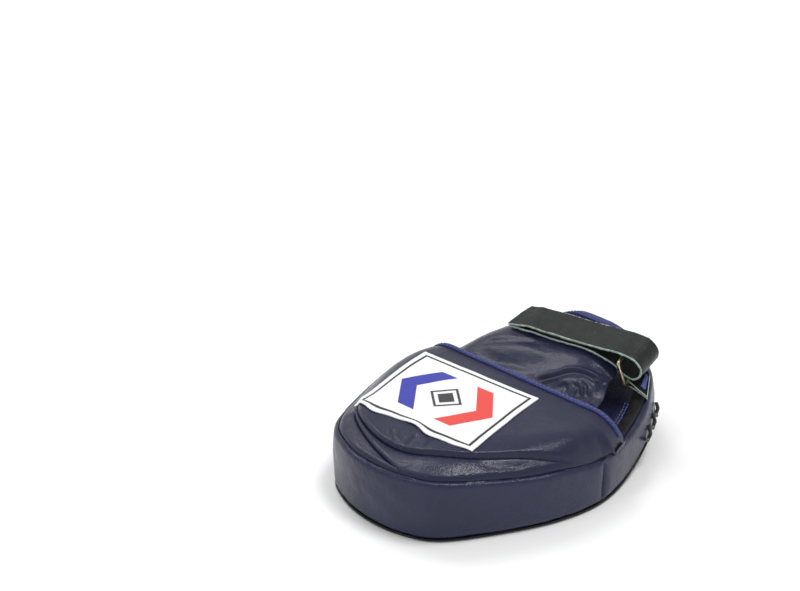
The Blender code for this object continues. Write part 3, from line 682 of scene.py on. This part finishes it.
CORD = thread("waxed cord", (0.006, 0.006, 0.007), (0.020, 0.020, 0.022))
LABEL = woven_label()
BRASS = brass()
SOFT = foam("soft foam", (0.78, 0.76, 0.70))
FIRM = foam("firm foam", (0.10, 0.10, 0.11))
HOOK = hook_tape()


def dress_cad_nodes():
    """Better materials on the CAD nodes that stay."""
    for names, mat in (
        (("strike_foam", "pocket_padding", "hand_cover_padding"), SOFT),
        (("core_foam", "rear_foam"), FIRM),
        (("pocket_lining", "hand_cover_lining"), LINING),
        (("hook_patch", "loop_patch"), HOOK),
    ):
        for name in names:
            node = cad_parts[name]
            for slot in node.material_slots:
                slot.material = mat


# ---- Pad --------------------------------------------------------------------------------------------------
def ring_at(inset, h):
    """The outline moved inward, at height h (a number or a function of x and s)."""
    x, s = (OUTLINE + INWARD * inset).T
    return place(x, s, h(x, s) if callable(h) else h)


def circle_at(radius, h):
    """A circle round the target disc whose points match the outline's."""
    turn = np.arctan2(OUTLINE[:, 0], -(OUTLINE[:, 1] - DISC_CENTRE))
    return place(radius * np.sin(turn), DISC_CENTRE - radius * np.cos(turn), h)


def build_face():
    seat = DISC_RADIUS + 0.0004
    profile = [ring_at(inset, h) for inset, h in (
        (0.0400, LEATHER), (0.0030, LEATHER), (0.0016, 0.0022), (0.0004, 0.0022), (-0.0002, 0.0019),
        (-0.0004, 0.0013), (0.0000, 0.0006), (0.0008, 0.0002), (0.0020, 0.0), (0.0032, 0.0003), (0.0036, 0.0006),
        (0.0040, 0.0003), (0.0052, 0.0))]
    inner, outer = circle_at(seat, 0.0), OUTLINE + INWARD * 0.0052
    turn = np.arctan2(OUTLINE[:, 0], -(OUTLINE[:, 1] - DISC_CENTRE))
    target = np.stack((seat * np.sin(turn), DISC_CENTRE - seat * np.cos(turn)), -1)
    for t in np.linspace(0, 1, 13)[1:-1]:
        mid = outer * (1 - t) + target * t
        profile.append(place(mid[:, 0], mid[:, 1], 0.0))
    profile += [inner, circle_at(seat, DISC_DEPTH + GAP), circle_at(0.004, DISC_DEPTH + GAP)]
    verts, faces = loft(profile)
    make("face_leather", verts, faces, BLACK, replaces=("front_cover",))
    x, s = (OUTLINE + INWARD * 0.0036).T
    path = place(x, s, 0.0004)
    path = np.vstack([path, path[:1]])
    down = -surface_up(np.append(s, s[0]))
    stitches("face_stitching", path, down, 0.0042, 0.0032, 0.00035, NAVY_THREAD, lift=-0.6)


def surface_up(s):
    """Unit normal of the bent layout at s."""
    turn = np.clip((np.asarray(s, float) - BEND_START) / (BEND_END - BEND_START), 0, 1) * BEND
    return np.stack((np.zeros_like(turn), -np.sin(turn), np.cos(turn)), -1)


def build_disc():
    def loop(radius, h):
        turn = np.linspace(0, 2 * math.pi, 96, endpoint=False)
        return place(radius * np.sin(turn), DISC_CENTRE - radius * np.cos(turn), h)
    r = DISC_RADIUS
    rings = [(0.003, 0.0), (0.012, 0.0), (0.022, 0.0), (r - 0.0042, 0.0), (r - 0.0036, 0.0003), (r - 0.0030, 0.0),
             (r - 0.0010, 0.0), (r - 0.0002, 0.0002), (r, 0.0006), (r, DISC_DEPTH), (0.02, DISC_DEPTH)]
    verts, faces = loft([loop(*ring) for ring in rings])
    raw = [1 if 96 * 6 <= i < 96 * 9 else 0 for i in range(len(faces))]
    make("target_leather", verts, faces, [NAVY, RAW], raw, replaces=("target_disc",))
    path = loop(r - 0.0036, 0.0004)
    path = np.vstack([path, path[:1]])
    turn = np.linspace(0, 2 * math.pi, 97)
    down = -surface_up(DISC_CENTRE - r * np.cos(turn))
    stitches("target_stitching", path, down, 0.0036, 0.0028, 0.0004, BLUE_THREAD, lift=-0.6)


def build_wall(name, node, first, last, seed):
    """A stretch of the side wall, puffed between its seams and puckered along them."""
    index = np.arange(first, last + 1) % len(OUTLINE)
    points, inward = OUTLINE[index], INWARD[index]
    steps = np.linalg.norm(np.diff(points, axis=0), axis=1)
    run = np.concatenate(([0.0], np.cumsum(steps)))
    top = wall_height(points[:, 1])
    levels = np.concatenate((np.linspace(0, 0.09, 4), np.linspace(0.13, 0.87, 20), np.linspace(0.91, 1.0, 5)))
    loops = []
    for level in levels:
        h = FACE_WRAP + (top - 0.0002 - FACE_WRAP) * level
        low = (h - FACE_WRAP) / 0.0035
        out = 0.0012 * math.sin(math.pi * level) ** 0.7 if 0 < level < 1 else 0.0
        out = out - 0.0011 * (1 - np.clip(low, 0, 1)) ** 2 - rolled(top - h, 0.0038)
        out = out + 0.00055 * noise(run * 22 + seed, h * 30 + seed)
        pucker = np.exp(-(top - h) / 0.0050) + 0.5 * np.exp(-(h - FACE_WRAP) / 0.0035)
        out = out + 0.00040 * pucker * noise(run * 190, h * 9 + seed, 2)
        out = out + 0.00045 * math.sin(math.pi * level) * noise(run * 60 + h * 40, h * 60 + run * 8 + seed, 2)
        ends = smooth(run / 0.006) * smooth((run[-1] - run) / 0.006)
        out = out * ends - 0.0006 * (1 - smooth(run / 0.0013)) - 0.0006 * (1 - smooth((run[-1] - run) / 0.0013))
        q = points - inward * out[:, None]
        loops.append(place(q[:, 0], q[:, 1], h))
    for inset, h in ((0.0037, top - 0.0016), (0.0026, FACE_WRAP)):
        q = points + inward * inset
        loops.append(place(q[:, 0], q[:, 1], h))
    grid = np.stack(loops, 1)
    verts, faces = loft([row for row in grid])
    make(name, verts, faces, NAVY_DEEP, replaces=(node,), angle=75)


def build_walls():
    seam = int(np.argmin(np.abs(RIGHT[:, 1])))
    count = len(OUTLINE)
    build_wall("finger_wall_leather", "finger_wall", count - seam, count + seam, 2.0)
    build_wall("wrist_wall_leather", "wrist_wall", seam, count - seam, 31.0)


def build_back():
    insets = [0.0300, 0.0240, *np.linspace(0.0200, 0.0014, 16)]
    loops = [ring_at(d, lambda x, s: palm_surface(x, s) - LEATHER) for d in insets]

    def rippled(x, s):
        far = smooth(edge_distance(x, s) / 0.006)
        return palm_surface(x, s) + far * (0.0003 * noise(x * 60, s * 60, 2))

    loops += [ring_at(d, rippled) for d in insets[::-1]]
    verts, faces = loft(loops, cap=False)
    size, total = len(OUTLINE), len(loops)
    for row, flip in ((0, False), (total - 1, True)):
        base = row * size
        faces += ladder(base, size, flip)
    make("back_leather", verts, faces, NAVY, replaces=("back_panel",), angle=75)


def ladder(base, size, flip):
    """Faces across a ring whose two halves mirror each other."""
    side = size // 2
    faces = [(base, base + 1, base + size - 1)]
    for i in range(1, side - 1):
        faces.append((base + i, base + i + 1, base + size - i - 1, base + size - i))
    faces.append((base + side - 1, base + side, base + side + 1))
    return [f[::-1] for f in faces] if flip else faces


# ---- Finger pocket ----------------------------------------------------------------------------------------
def pocket_grid(across=224, lengthwise=208):
    start = HALF_OUTLINE[0][1] + SEAM_INSET
    t = 1 - np.cos(math.pi / 2 * np.linspace(0, 1, lengthwise + 1))
    u = -np.cos(math.pi * np.linspace(0, 1, across + 1))
    s_row = start + (POCKET_MOUTH - start) * t
    width = np.maximum(0.002, half_width(s_row) - seam_inset(s_row))
    x = u[None, :] * width[:, None]
    square = smooth((t - 0.55) / 0.45)
    s = s_row[:, None] + POCKET_SKEW * x * square[:, None]
    return x, s


def build_pocket():
    x, s = pocket_grid()
    h = pocket_top(x, s)
    verts, faces = thick_grid(place(x, s, h), place(x, s, h - COVER))
    piece = make("pocket_leather", verts, faces, NAVY, replaces=("pocket_cover",), angle=80)


def tape(name, node, x, edge_s, top, pitch, row_mat):
    """Folded binding tape over a free edge, with its row of stitches."""
    skin = 0.0015
    pucker = 0.00016 * np.sin(2 * math.pi * np.arange(len(x)) * (x[1] - x[0]) / pitch)
    loops = []
    leg = BINDING_LEG + 0.0004

    def at(back, lift, side):
        s = edge_s + 0.0016 - back
        h = top(x, edge_s - max(0.0, back - 0.0016)) + (lift if side > 0 else -COVER - lift)
        return place(x, s, h)

    for back, share in ((leg + 0.0016 + 0.0002, 0.15), (leg + 0.0014, 0.75), (leg + 0.0004, 1.0), (0.0040, 0.92),
                        (0.0026, 1.0), (0.0014, 0.95), (0.0005, 0.65)):
        loops.append(at(back, skin * share, 1) + surface_up(edge_s) * (pucker * (0.0020 < back))[:, None])
    loops.append(place(x, edge_s + 0.0018, top(x, edge_s) - 0.35 * COVER))
    loops.append(place(x, edge_s + 0.0018, top(x, edge_s) - 0.65 * COVER))
    for back, share in ((0.0005, 0.65), (0.0014, 0.95), (0.0040, 1.0), (leg + 0.0014, 0.9), (leg + 0.0018, 0.15)):
        loops.append(at(back, skin * share, -1))
    verts, faces = loft([np.stack([loop[i] for loop in loops]) for i in range(len(x))])
    make(name, verts, faces, TAPE, replaces=(node,), angle=80)
    path = at(0.0040, skin * 0.95, 1)
    stitches(f"{name}_stitching", path, surface_up(edge_s), pitch, pitch * 0.78, 0.00042, row_mat,
             lift=0.25)


def build_pocket_tape():
    side = half_width(POCKET_MOUTH) - 0.0030
    x = np.linspace(-side, side, 420)
    tape("pocket_tape", "pocket_binding", x, POCKET_MOUTH + POCKET_SKEW * x, pocket_top, 0.0036, BLUE_THREAD)


def label_point(a, b):
    x = LABEL_CENTRE[0] + a * math.cos(LABEL_TURN) - b * math.sin(LABEL_SKEW)
    return x, LABEL_CENTRE[1] + a * math.sin(LABEL_TURN) + b * math.cos(LABEL_SKEW)


def build_label():
    """Woven patch that follows the pocket, with its loose tip edge rippling."""
    a, b = np.meshgrid(np.linspace(-0.5, 0.5, 131) * LABEL_LENGTH, np.linspace(-0.5, 0.5, 117) * LABEL_WIDTH)
    tip = smooth((-b / LABEL_WIDTH - 0.38) / 0.12)
    wave = 0.0022 * np.sin(a * 118 + 1.9) + 0.0007 * np.sin(a * 250 + 0.6)
    x, s = label_point(a, b + wave * tip)
    under = pocket_top(x, s)
    calm = under
    for _ in range(14):
        calm = np.pad(calm, 1, mode="edge")
        calm = (calm[1:-1, :-2] + calm[1:-1, 2:] + calm[:-2, 1:-1] + calm[2:, 1:-1]) / 4
    h = np.maximum(calm, under) + 0.0009 + tip * (0.0003 + 0.0004 * np.sin(a * 118 + 0.4))
    h += 0.00010 * noise(a * 110 + 3, b * 110, 2)
    top = place(x, s, h)
    verts, faces = thick_grid(top, place(x, s, h - 0.0007))
    uv = np.stack((a.ravel(), b.ravel()), -1)
    piece = make("label_cloth", verts, faces, LABEL, uvs=np.vstack([uv, uv]), replaces=("label_patch",))
    inset = 0.0050
    n = surface_normals(top)
    la, lb = LABEL_LENGTH / 2 - inset, LABEL_WIDTH / 2 - inset
    corners = [(-la, -lb), (la, -lb), (la, lb), (-la, lb), (-la, -lb)]
    path, normal = [], []
    for (a0, b0), (a1, b1) in zip(corners, corners[1:]):
        for t in np.linspace(0, 1, 60, endpoint=False):
            i = (b0 + (b1 - b0) * t) / LABEL_WIDTH * 116 + 58
            j = (a0 + (a1 - a0) * t) / LABEL_LENGTH * 130 + 65
            path.append(top[int(round(i)), int(round(j))])
            normal.append(n[int(round(i)), int(round(j))])
    stitches("label_stitching", path, np.array(normal), 0.0030, 0.0027, 0.00040, DARK_THREAD,
             lift=0.1)


# ---- Hand cover -------------------------------------------------------------------------------------------
def build_hand_cover():
    lengthwise, across = 170, 150
    s = np.linspace(CUFF_START, CUFF_END, lengthwise + 1)[:, None]
    far = -half_width(s) + CUFF_INSET
    near = cuff_free_edge(s)
    t = (1 - np.cos(math.pi * np.linspace(0, 1, across + 1)))[None, :] / 2
    x = far + (near - far) * t
    s = np.broadcast_to(s, x.shape)
    h = cuff_top(x, s)
    under_pocket = smooth((POCKET_MOUTH + POCKET_SKEW * x - s) / 0.010)
    h = h - 0.0020 * under_pocket
    verts, faces = thick_grid(place(x, s, h), place(x, s, h - COVER))
    piece = make("hand_cover_leather", verts, faces, NAVY, replaces=("hand_cover",), angle=80)
    x = np.linspace(-float(half_width(CUFF_END)) + CUFF_INSET + 0.0045, float(cuff_free_edge(CUFF_END)) - 0.0002, 260)
    tape("hand_cover_tape", "hand_cover_binding", x, np.full_like(x, CUFF_END), cuff_top, 0.0036, BLUE_THREAD)


# ---- Hand opening -----------------------------------------------------------------------------------------
def strip(name, node, s_from, s_to, outer, inner, lift, thickness, mat, seed):
    s = np.linspace(s_from, s_to, 120)[:, None]
    t = np.linspace(0, 1, 22)[None, :]
    x = half_width(s) - outer - (inner - outer) * t
    s = np.broadcast_to(s, x.shape)
    round_off = 0.0005 * (np.abs(2 * t - 1) ** 8)
    h = palm_surface(x, s) + lift + thickness - round_off + 0.00035 * noise(x * 150 + seed, s * 150, 2)
    top = place(x, s, h)
    verts, faces = thick_grid(top, place(x, s, h - thickness))
    make(name, verts, faces, mat, replaces=(node,), angle=80)
    return top


def build_opening():
    strip("facing_leather", "palm_facing", 0.034, 0.098, 0.0040, 0.0165, 2 * GAP, 0.0012, FACING, 1)
    top = strip("palm_tape_leather", "palm_tape", 0.034, 0.080, 0.0166, 0.0214, 2 * GAP, 0.0014, NAVY,
                8)
    up = surface_up(np.linspace(0.034, 0.080, 120))
    for column, tag in ((4, "outer"), (17, "inner")):
        stitches(f"palm_tape_stitching_{tag}", top[:, column], up, 0.0032, 0.0025, 0.0004, BLUE_THREAD,
                 lift=0.2)
    sections = []
    for t in np.linspace(-1, 1, 61):
        x = 0.045 * t
        scale = math.sqrt(max(0.05, 1 - abs(t) ** 5))
        turn = np.linspace(0, math.pi, 25)
        s = 0.045 - 0.0090 * scale * np.cos(turn)
        ripple = 0.0003 * noise(np.full_like(turn, x * 180), turn * 2, 2)
        sections.append(place(x, s, along(PALM_HEIGHTS, s) + 2 * GAP + (0.0085 * scale + ripple) * np.sin(turn)))
    verts, faces = loft(sections)
    piece = make("palm_roll_leather", verts, faces, FACING, replaces=("palm_grip",))


def build_lacing():
    """The waxed cord that zigzags across the seam of the wrist half's wall."""
    start, stop, crossings = 0.064, 0.101, 7
    nodes = [(start + (stop - start) * k / (crossings - 1), 0.20 if k % 2 else 0.42) for k in range(crossings)]
    route = curve(nodes, 170)
    s, level = route[:, 0], route[:, 1]
    x = half_width(s)
    out = np.arctan2(0.001, half_width(s + 0.001) - x) - math.pi / 2
    lift = 0.0024 + 0.0010 * np.sin(np.linspace(0, 6 * math.pi, len(s))) ** 2
    h = FACE_WRAP + (wall_height(s) - FACE_WRAP) * level
    path = place(x + lift * np.cos(out), s + lift * np.sin(out), h)
    verts, faces = tube_faces(path, 0.0014, 12)
    make("lacing", verts, faces, CORD, replaces=("lacing_cord",), angle=80)


# ---- Strap, ring and keeper ---------------------------------------------------------------------------------
def run_height(a):
    best = np.zeros(np.shape(a))
    for b in (-0.5, -0.25, 0.0, 0.25, 0.5):
        x, s = strap_layout(np.asarray(a, float), b * STRAP_WIDTH)
        best = np.maximum(best, cuff_base(x, s))
    return best + STRAP_THICKNESS / 2 + 3 * GAP


def cuff_base(x, s):
    foot = wall_height(s) + GAP + COVER
    top = along(CUFF_TOP, s)
    far = foot + (top - foot) * bulge(half_width(s) + x - CUFF_INSET, 0.036)
    start = cuff_free_edge(s) - 0.030
    return np.where(x < 0, far, top - CUFF_EDGE_DROP * np.maximum(0.0, (x - start) / 0.030) ** 2)


def band_loops(path, cut, seed):
    """Cross-sections of the leather strap along (a, h) points: finished face, raw ragged edges."""
    path = np.asarray(path, float)
    step = np.gradient(path, axis=0)
    step /= np.linalg.norm(step, axis=1)[:, None]
    normal = np.stack((-step[:, 1], step[:, 0]), -1)
    b = np.concatenate(([-0.5], np.linspace(-0.484, 0.484, 19), [0.5])) * STRAP_WIDTH
    loops = []
    for k, (a, h) in enumerate(path):
        rag = 0.00045 * noise(np.array([k * 0.8 + seed, k * 0.8 + seed + 40.0]), np.array([seed, seed]), 3)
        bb = b.copy()
        bb[0] += rag[0]
        bb[-1] += rag[1]
        shift = cut(bb, k, len(path))
        lift = 0.0004 * noise(bb * 80 + seed, np.full_like(bb, k * 0.07), 2)
        half = STRAP_THICKNESS / 2 * (1 - 0.30 * (np.abs(2 * bb / STRAP_WIDTH) > 0.985))
        sides = [strap_place(a + shift * step[k, 0] + normal[k, 0] * (lift + way * half), bb,
                             h + shift * step[k, 1] + normal[k, 1] * (lift + way * half)) for way in (-1, 1)]
        loops.append(np.vstack([sides[0], sides[1][::-1]]))
    return loops, len(b)


def band(name, loops, n, ends, body, replaces=()):
    """One stretch of the strap.  If any entry of ends is true, both of its end caps show a raw cut."""
    verts, faces = loft(loops)
    size = len(loops[0])
    raw = []
    for index in range(len(faces)):
        if index >= (len(loops) - 1) * size:
            raw.append(1 if any(ends) else 0)
        else:
            raw.append(1 if index % size in (0, n - 2, n - 1, n, size - 2, size - 1) else 0)
    return make(name, verts, faces, [STRAP, RAW], raw, body=body, replaces=replaces, angle=80)


def build_strap():
    """The strap is one band, cut into three pieces: the band rides on the pad, the tail on its own body, and the fold
    between them on neither.
    """
    low, high = RUN_ENDS
    on_cover = np.linspace(low + 0.0030, high, 13)
    above = STRAP_THICKNESS + 2 * PATCH + 5 * GAP
    on_run = 0.014 - 0.0098 * np.arange(8)
    above = above - (above - STRAP_THICKNESS - 0.0003) * smooth((-0.032 - on_run) / 0.018)
    points = [tuple(p) for p in np.stack((on_cover, run_height(on_cover)), -1)] + list(LOOP_ROUTE)
    points += list(TAIL_START)[1:]
    points += [tuple(p) for p in np.stack((on_run, run_height(on_run) + above), -1)]
    route = curve(points, 330)

    def end_cut(b, k, count):
        share = smooth((k / (count - 1) - 0.90) / 0.10)
        return -0.0060 * share * np.clip((b / STRAP_WIDTH + 0.5), 0, 1) ** 1.4

    loops, n = band_loops(route, end_cut, 3.0)
    outermost = int(np.argmax(route[:, 0]))
    fold_end = outermost + int(np.argmax(route[outermost:, 0] < 0.0440))
    band("strap_band", loops[:outermost + 1], n, (True, False), BODY_PAD, ("strap_run",))
    bend = band("strap_fold", loops[outermost:fold_end + 1], n, (False, False), None)
    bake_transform(bend)
    band("strap_tail_band", loops[fold_end:], n, (False, True), BODY_TAIL, ("strap_tail",))
    for b_index, tag in ((3, "lower"), (n - 4, "upper")):
        path = np.array([loop[2 * n - 1 - b_index] for loop in loops[fold_end + 1:-6]])
        up = np.tile([0, -math.sin(BEND), math.cos(BEND)], (len(path), 1))
        stitches(f"strap_stitching_{tag}", path, up, 0.0036, 0.0028, 0.0003, DARK_THREAD,
                 body=BODY_TAIL, lift=0.1)


def build_ring():
    (a0, h0), (a1, h1) = RING_FOOT, RING_HEAD
    height = math.hypot(a1 - a0, h1 - h0)
    ua, uh = (a1 - a0) / height, (h1 - h0) / height
    corner, half = 0.0035, RING_WIDTH / 2
    route = []
    for cb, cq, first in ((half, 0.0, -90), (half, height, 0), (-half, height, 90), (-half, 0.0, 180)):
        for k in range(9):
            turn = math.radians(first + 90 * k / 8)
            b = cb - corner * (1 if cb > 0 else -1) + corner * math.cos(turn)
            q = cq + corner * (1 if cq == 0.0 else -1) + corner * math.sin(turn)
            route.append((b, q))
    route = np.array(route + route[:1])
    route = resample(route, 120)[:-1]
    path = strap_place(a0 + ua * route[:, 1], route[:, 0], h0 + uh * route[:, 1])
    normal = strap_place(uh, 0, -ua) - strap_place(0, 0, 0)
    verts, faces = tube_faces(path, WIRE, 16, closed=True, up=tuple(normal / np.linalg.norm(normal)))
    make("ring_wire", verts, faces, BRASS, body=BODY_RING, replaces=("ring",), angle=80)


def build_keeper():
    """Folded tab round the ring's bar, its cut side raw, sewn down by a bar tack."""
    a0, h0 = RING_FOOT
    around = WIRE + 0.0010
    path = [(a0 + KEEPER_REACH, h0 - 0.0004), (a0 + 0.0090, h0 - 0.0010)]
    for k in range(9):
        turn = math.radians(-80 - 205 * k / 8)
        path.append((a0 + around * math.cos(turn), h0 + around * math.sin(turn)))
    path += [(a0 + 0.0055, h0 + 0.0014), (a0 + 0.0095, h0 + 0.0010), (a0 + KEEPER_REACH, h0 + 0.0012)]
    path = curve(path, 90)
    step = np.gradient(path, axis=0)
    step /= np.linalg.norm(step, axis=1)[:, None]
    normal = np.stack((-step[:, 1], step[:, 0]), -1)
    b = np.concatenate(([-0.5], np.linspace(-0.475, 0.475, 15), [0.5])) * KEEPER_WIDTH

    def splayed(a, bb, h):
        beyond = a - a0
        return strap_place(a - KEEPER_SPLAY * np.maximum(0.0, beyond) * bb, bb + KEEPER_SLANT * beyond, h)

    loops = []
    for k, (a, h) in enumerate(path):
        bb = b + 0.0003 * noise(np.full_like(b, k * 0.8), np.sign(b) * 5 + 6, 2) * (np.abs(b) > 0.49 * KEEPER_WIDTH)
        wave = 0.0002 * noise(b * 130, np.full_like(b, k * 0.09), 2)
        sides = [splayed(a + normal[k, 0] * (0.00055 * way + wave), bb, h + normal[k, 1] * (0.00055 * way + wave))
                 for way in (-1, 1)]
        loops.append(np.vstack([sides[0], sides[1][::-1]]))
    verts, faces = loft(loops)
    size, n = len(loops[0]), len(b)
    raw = [1 if i >= (len(loops) - 1) * size or i % size in (0, n - 2, n - 1, n, size - 2, size - 1) else 0
           for i in range(len(faces))]
    make("keeper_leather", verts, faces, [FACING, RAW], raw, replaces=("ring_keeper",),
         angle=80)
    count = 22
    zig_b = np.linspace(-0.0070, 0.0070, count)
    zig_a = a0 + np.where(np.arange(count) % 2, 0.0136, 0.0096)
    zig = curve([(a, bb) for a, bb in zip(zig_a, zig_b)], 240)
    path = splayed(zig[:, 0], zig[:, 1], np.full(len(zig), h0 + 0.0021))
    verts, faces = tube_faces(path, 0.0005, 6)
    make("keeper_bartack_thread", verts, faces, BLUE_THREAD, replaces=("keeper_bartack",), angle=80)


# ---- Stage ------------------------------------------------------------------------------------------------
# Camera, from a fit to the outline of the mitt: metres, millimetres for the lens, and radians.
CAMERA_PLACE = (0.58623, -0.64281, 0.53573)
CAMERA_TILT, CAMERA_TURN = 0.4382, 0.8289
CAMERA_SENSOR, CAMERA_LENS = 36.0, 59.43
# Lamps: name, azimuth, elevation, strength, and the angle that softens the shadows; angles in degrees.
LAMPS = (
    ("overhead light", 50.0, 74.0, 1.15, 17.0),
    ("front light", -110.0, 55.0, 0.22, 12.0),
    ("left light", -172.0, 42.0, 0.26, 15.0),
    ("back light", 164.0, 56.0, 0.62, 22.0),
)
# Brightness of the studio's surround, by height on its sphere.
SURROUND = ((0.17, 1.0), (0.36, 0.62))
FLOOR_SIDE, FLOOR_LEVEL = 40.0, -0.0002


def build_stage():
    mesh = bpy.data.meshes.new("floor")
    corners = [(a * FLOOR_SIDE, b * FLOOR_SIDE, FLOOR_LEVEL) for a, b in ((-1, -1), (1, -1), (1, 1), (-1, 1))]
    mesh.from_pydata(corners, [], [(0, 1, 2, 3)])
    floor = bpy.data.objects.new("floor", mesh)
    bpy.context.scene.collection.objects.link(floor)
    m = Nodes("floor", (0.96, 0.96, 0.96), 0.35, specular=0.35)
    m.link(m.ramp(m.noise(3.0), ((0.3, 0.955), (0.7, 0.965))), m.bsdf.inputs["Base Color"])
    mesh.materials.append(m.mat)

    world = bpy.data.worlds.new("studio")
    bpy.context.scene.world = world
    world.use_nodes = True
    background = world.node_tree.nodes["Background"]
    background.inputs["Strength"].default_value = 1.0
    tree = world.node_tree
    coord = tree.nodes.new("ShaderNodeTexCoord")
    split = tree.nodes.new("ShaderNodeSeparateXYZ")
    ramp = tree.nodes.new("ShaderNodeValToRGB")
    for index, (height, level) in enumerate(SURROUND):
        ramp.color_ramp.elements[index].position = height
        ramp.color_ramp.elements[index].color = (level, level, level, 1.0)
    tree.links.new(coord.outputs["Generated"], split.inputs["Vector"])
    tree.links.new(split.outputs["Z"], ramp.inputs["Fac"])
    tree.links.new(ramp.outputs["Color"], background.inputs["Color"])

    for name, azimuth, elevation, strength, spread in LAMPS:
        light = bpy.data.lights.new(name, "SUN")
        light.energy = strength
        light.angle = math.radians(spread)
        lamp = bpy.data.objects.new(name, light)
        turn, rise = math.radians(azimuth), math.radians(elevation)
        towards = Vector((math.cos(turn) * math.cos(rise), math.sin(turn) * math.cos(rise), math.sin(rise)))
        lamp.location = towards
        lamp.rotation_euler = towards.to_track_quat("Z", "Y").to_euler()
        bpy.context.scene.collection.objects.link(lamp)

    data = bpy.data.cameras.new("camera")
    data.sensor_width, data.lens = CAMERA_SENSOR, CAMERA_LENS
    camera = bpy.data.objects.new("camera", data)
    camera.location = CAMERA_PLACE
    camera.rotation_euler = (math.pi / 2 - CAMERA_TILT, 0.0, CAMERA_TURN)
    bpy.context.scene.collection.objects.link(camera)
    bpy.context.scene.camera = camera
    bpy.context.scene.view_settings.view_transform = "Standard"


dress_cad_nodes()
build_face()
build_disc()
build_walls()
build_back()
build_pocket()
build_pocket_tape()
build_label()
build_hand_cover()
build_opening()
build_lacing()
build_strap()
build_ring()
build_keeper()
build_stage()
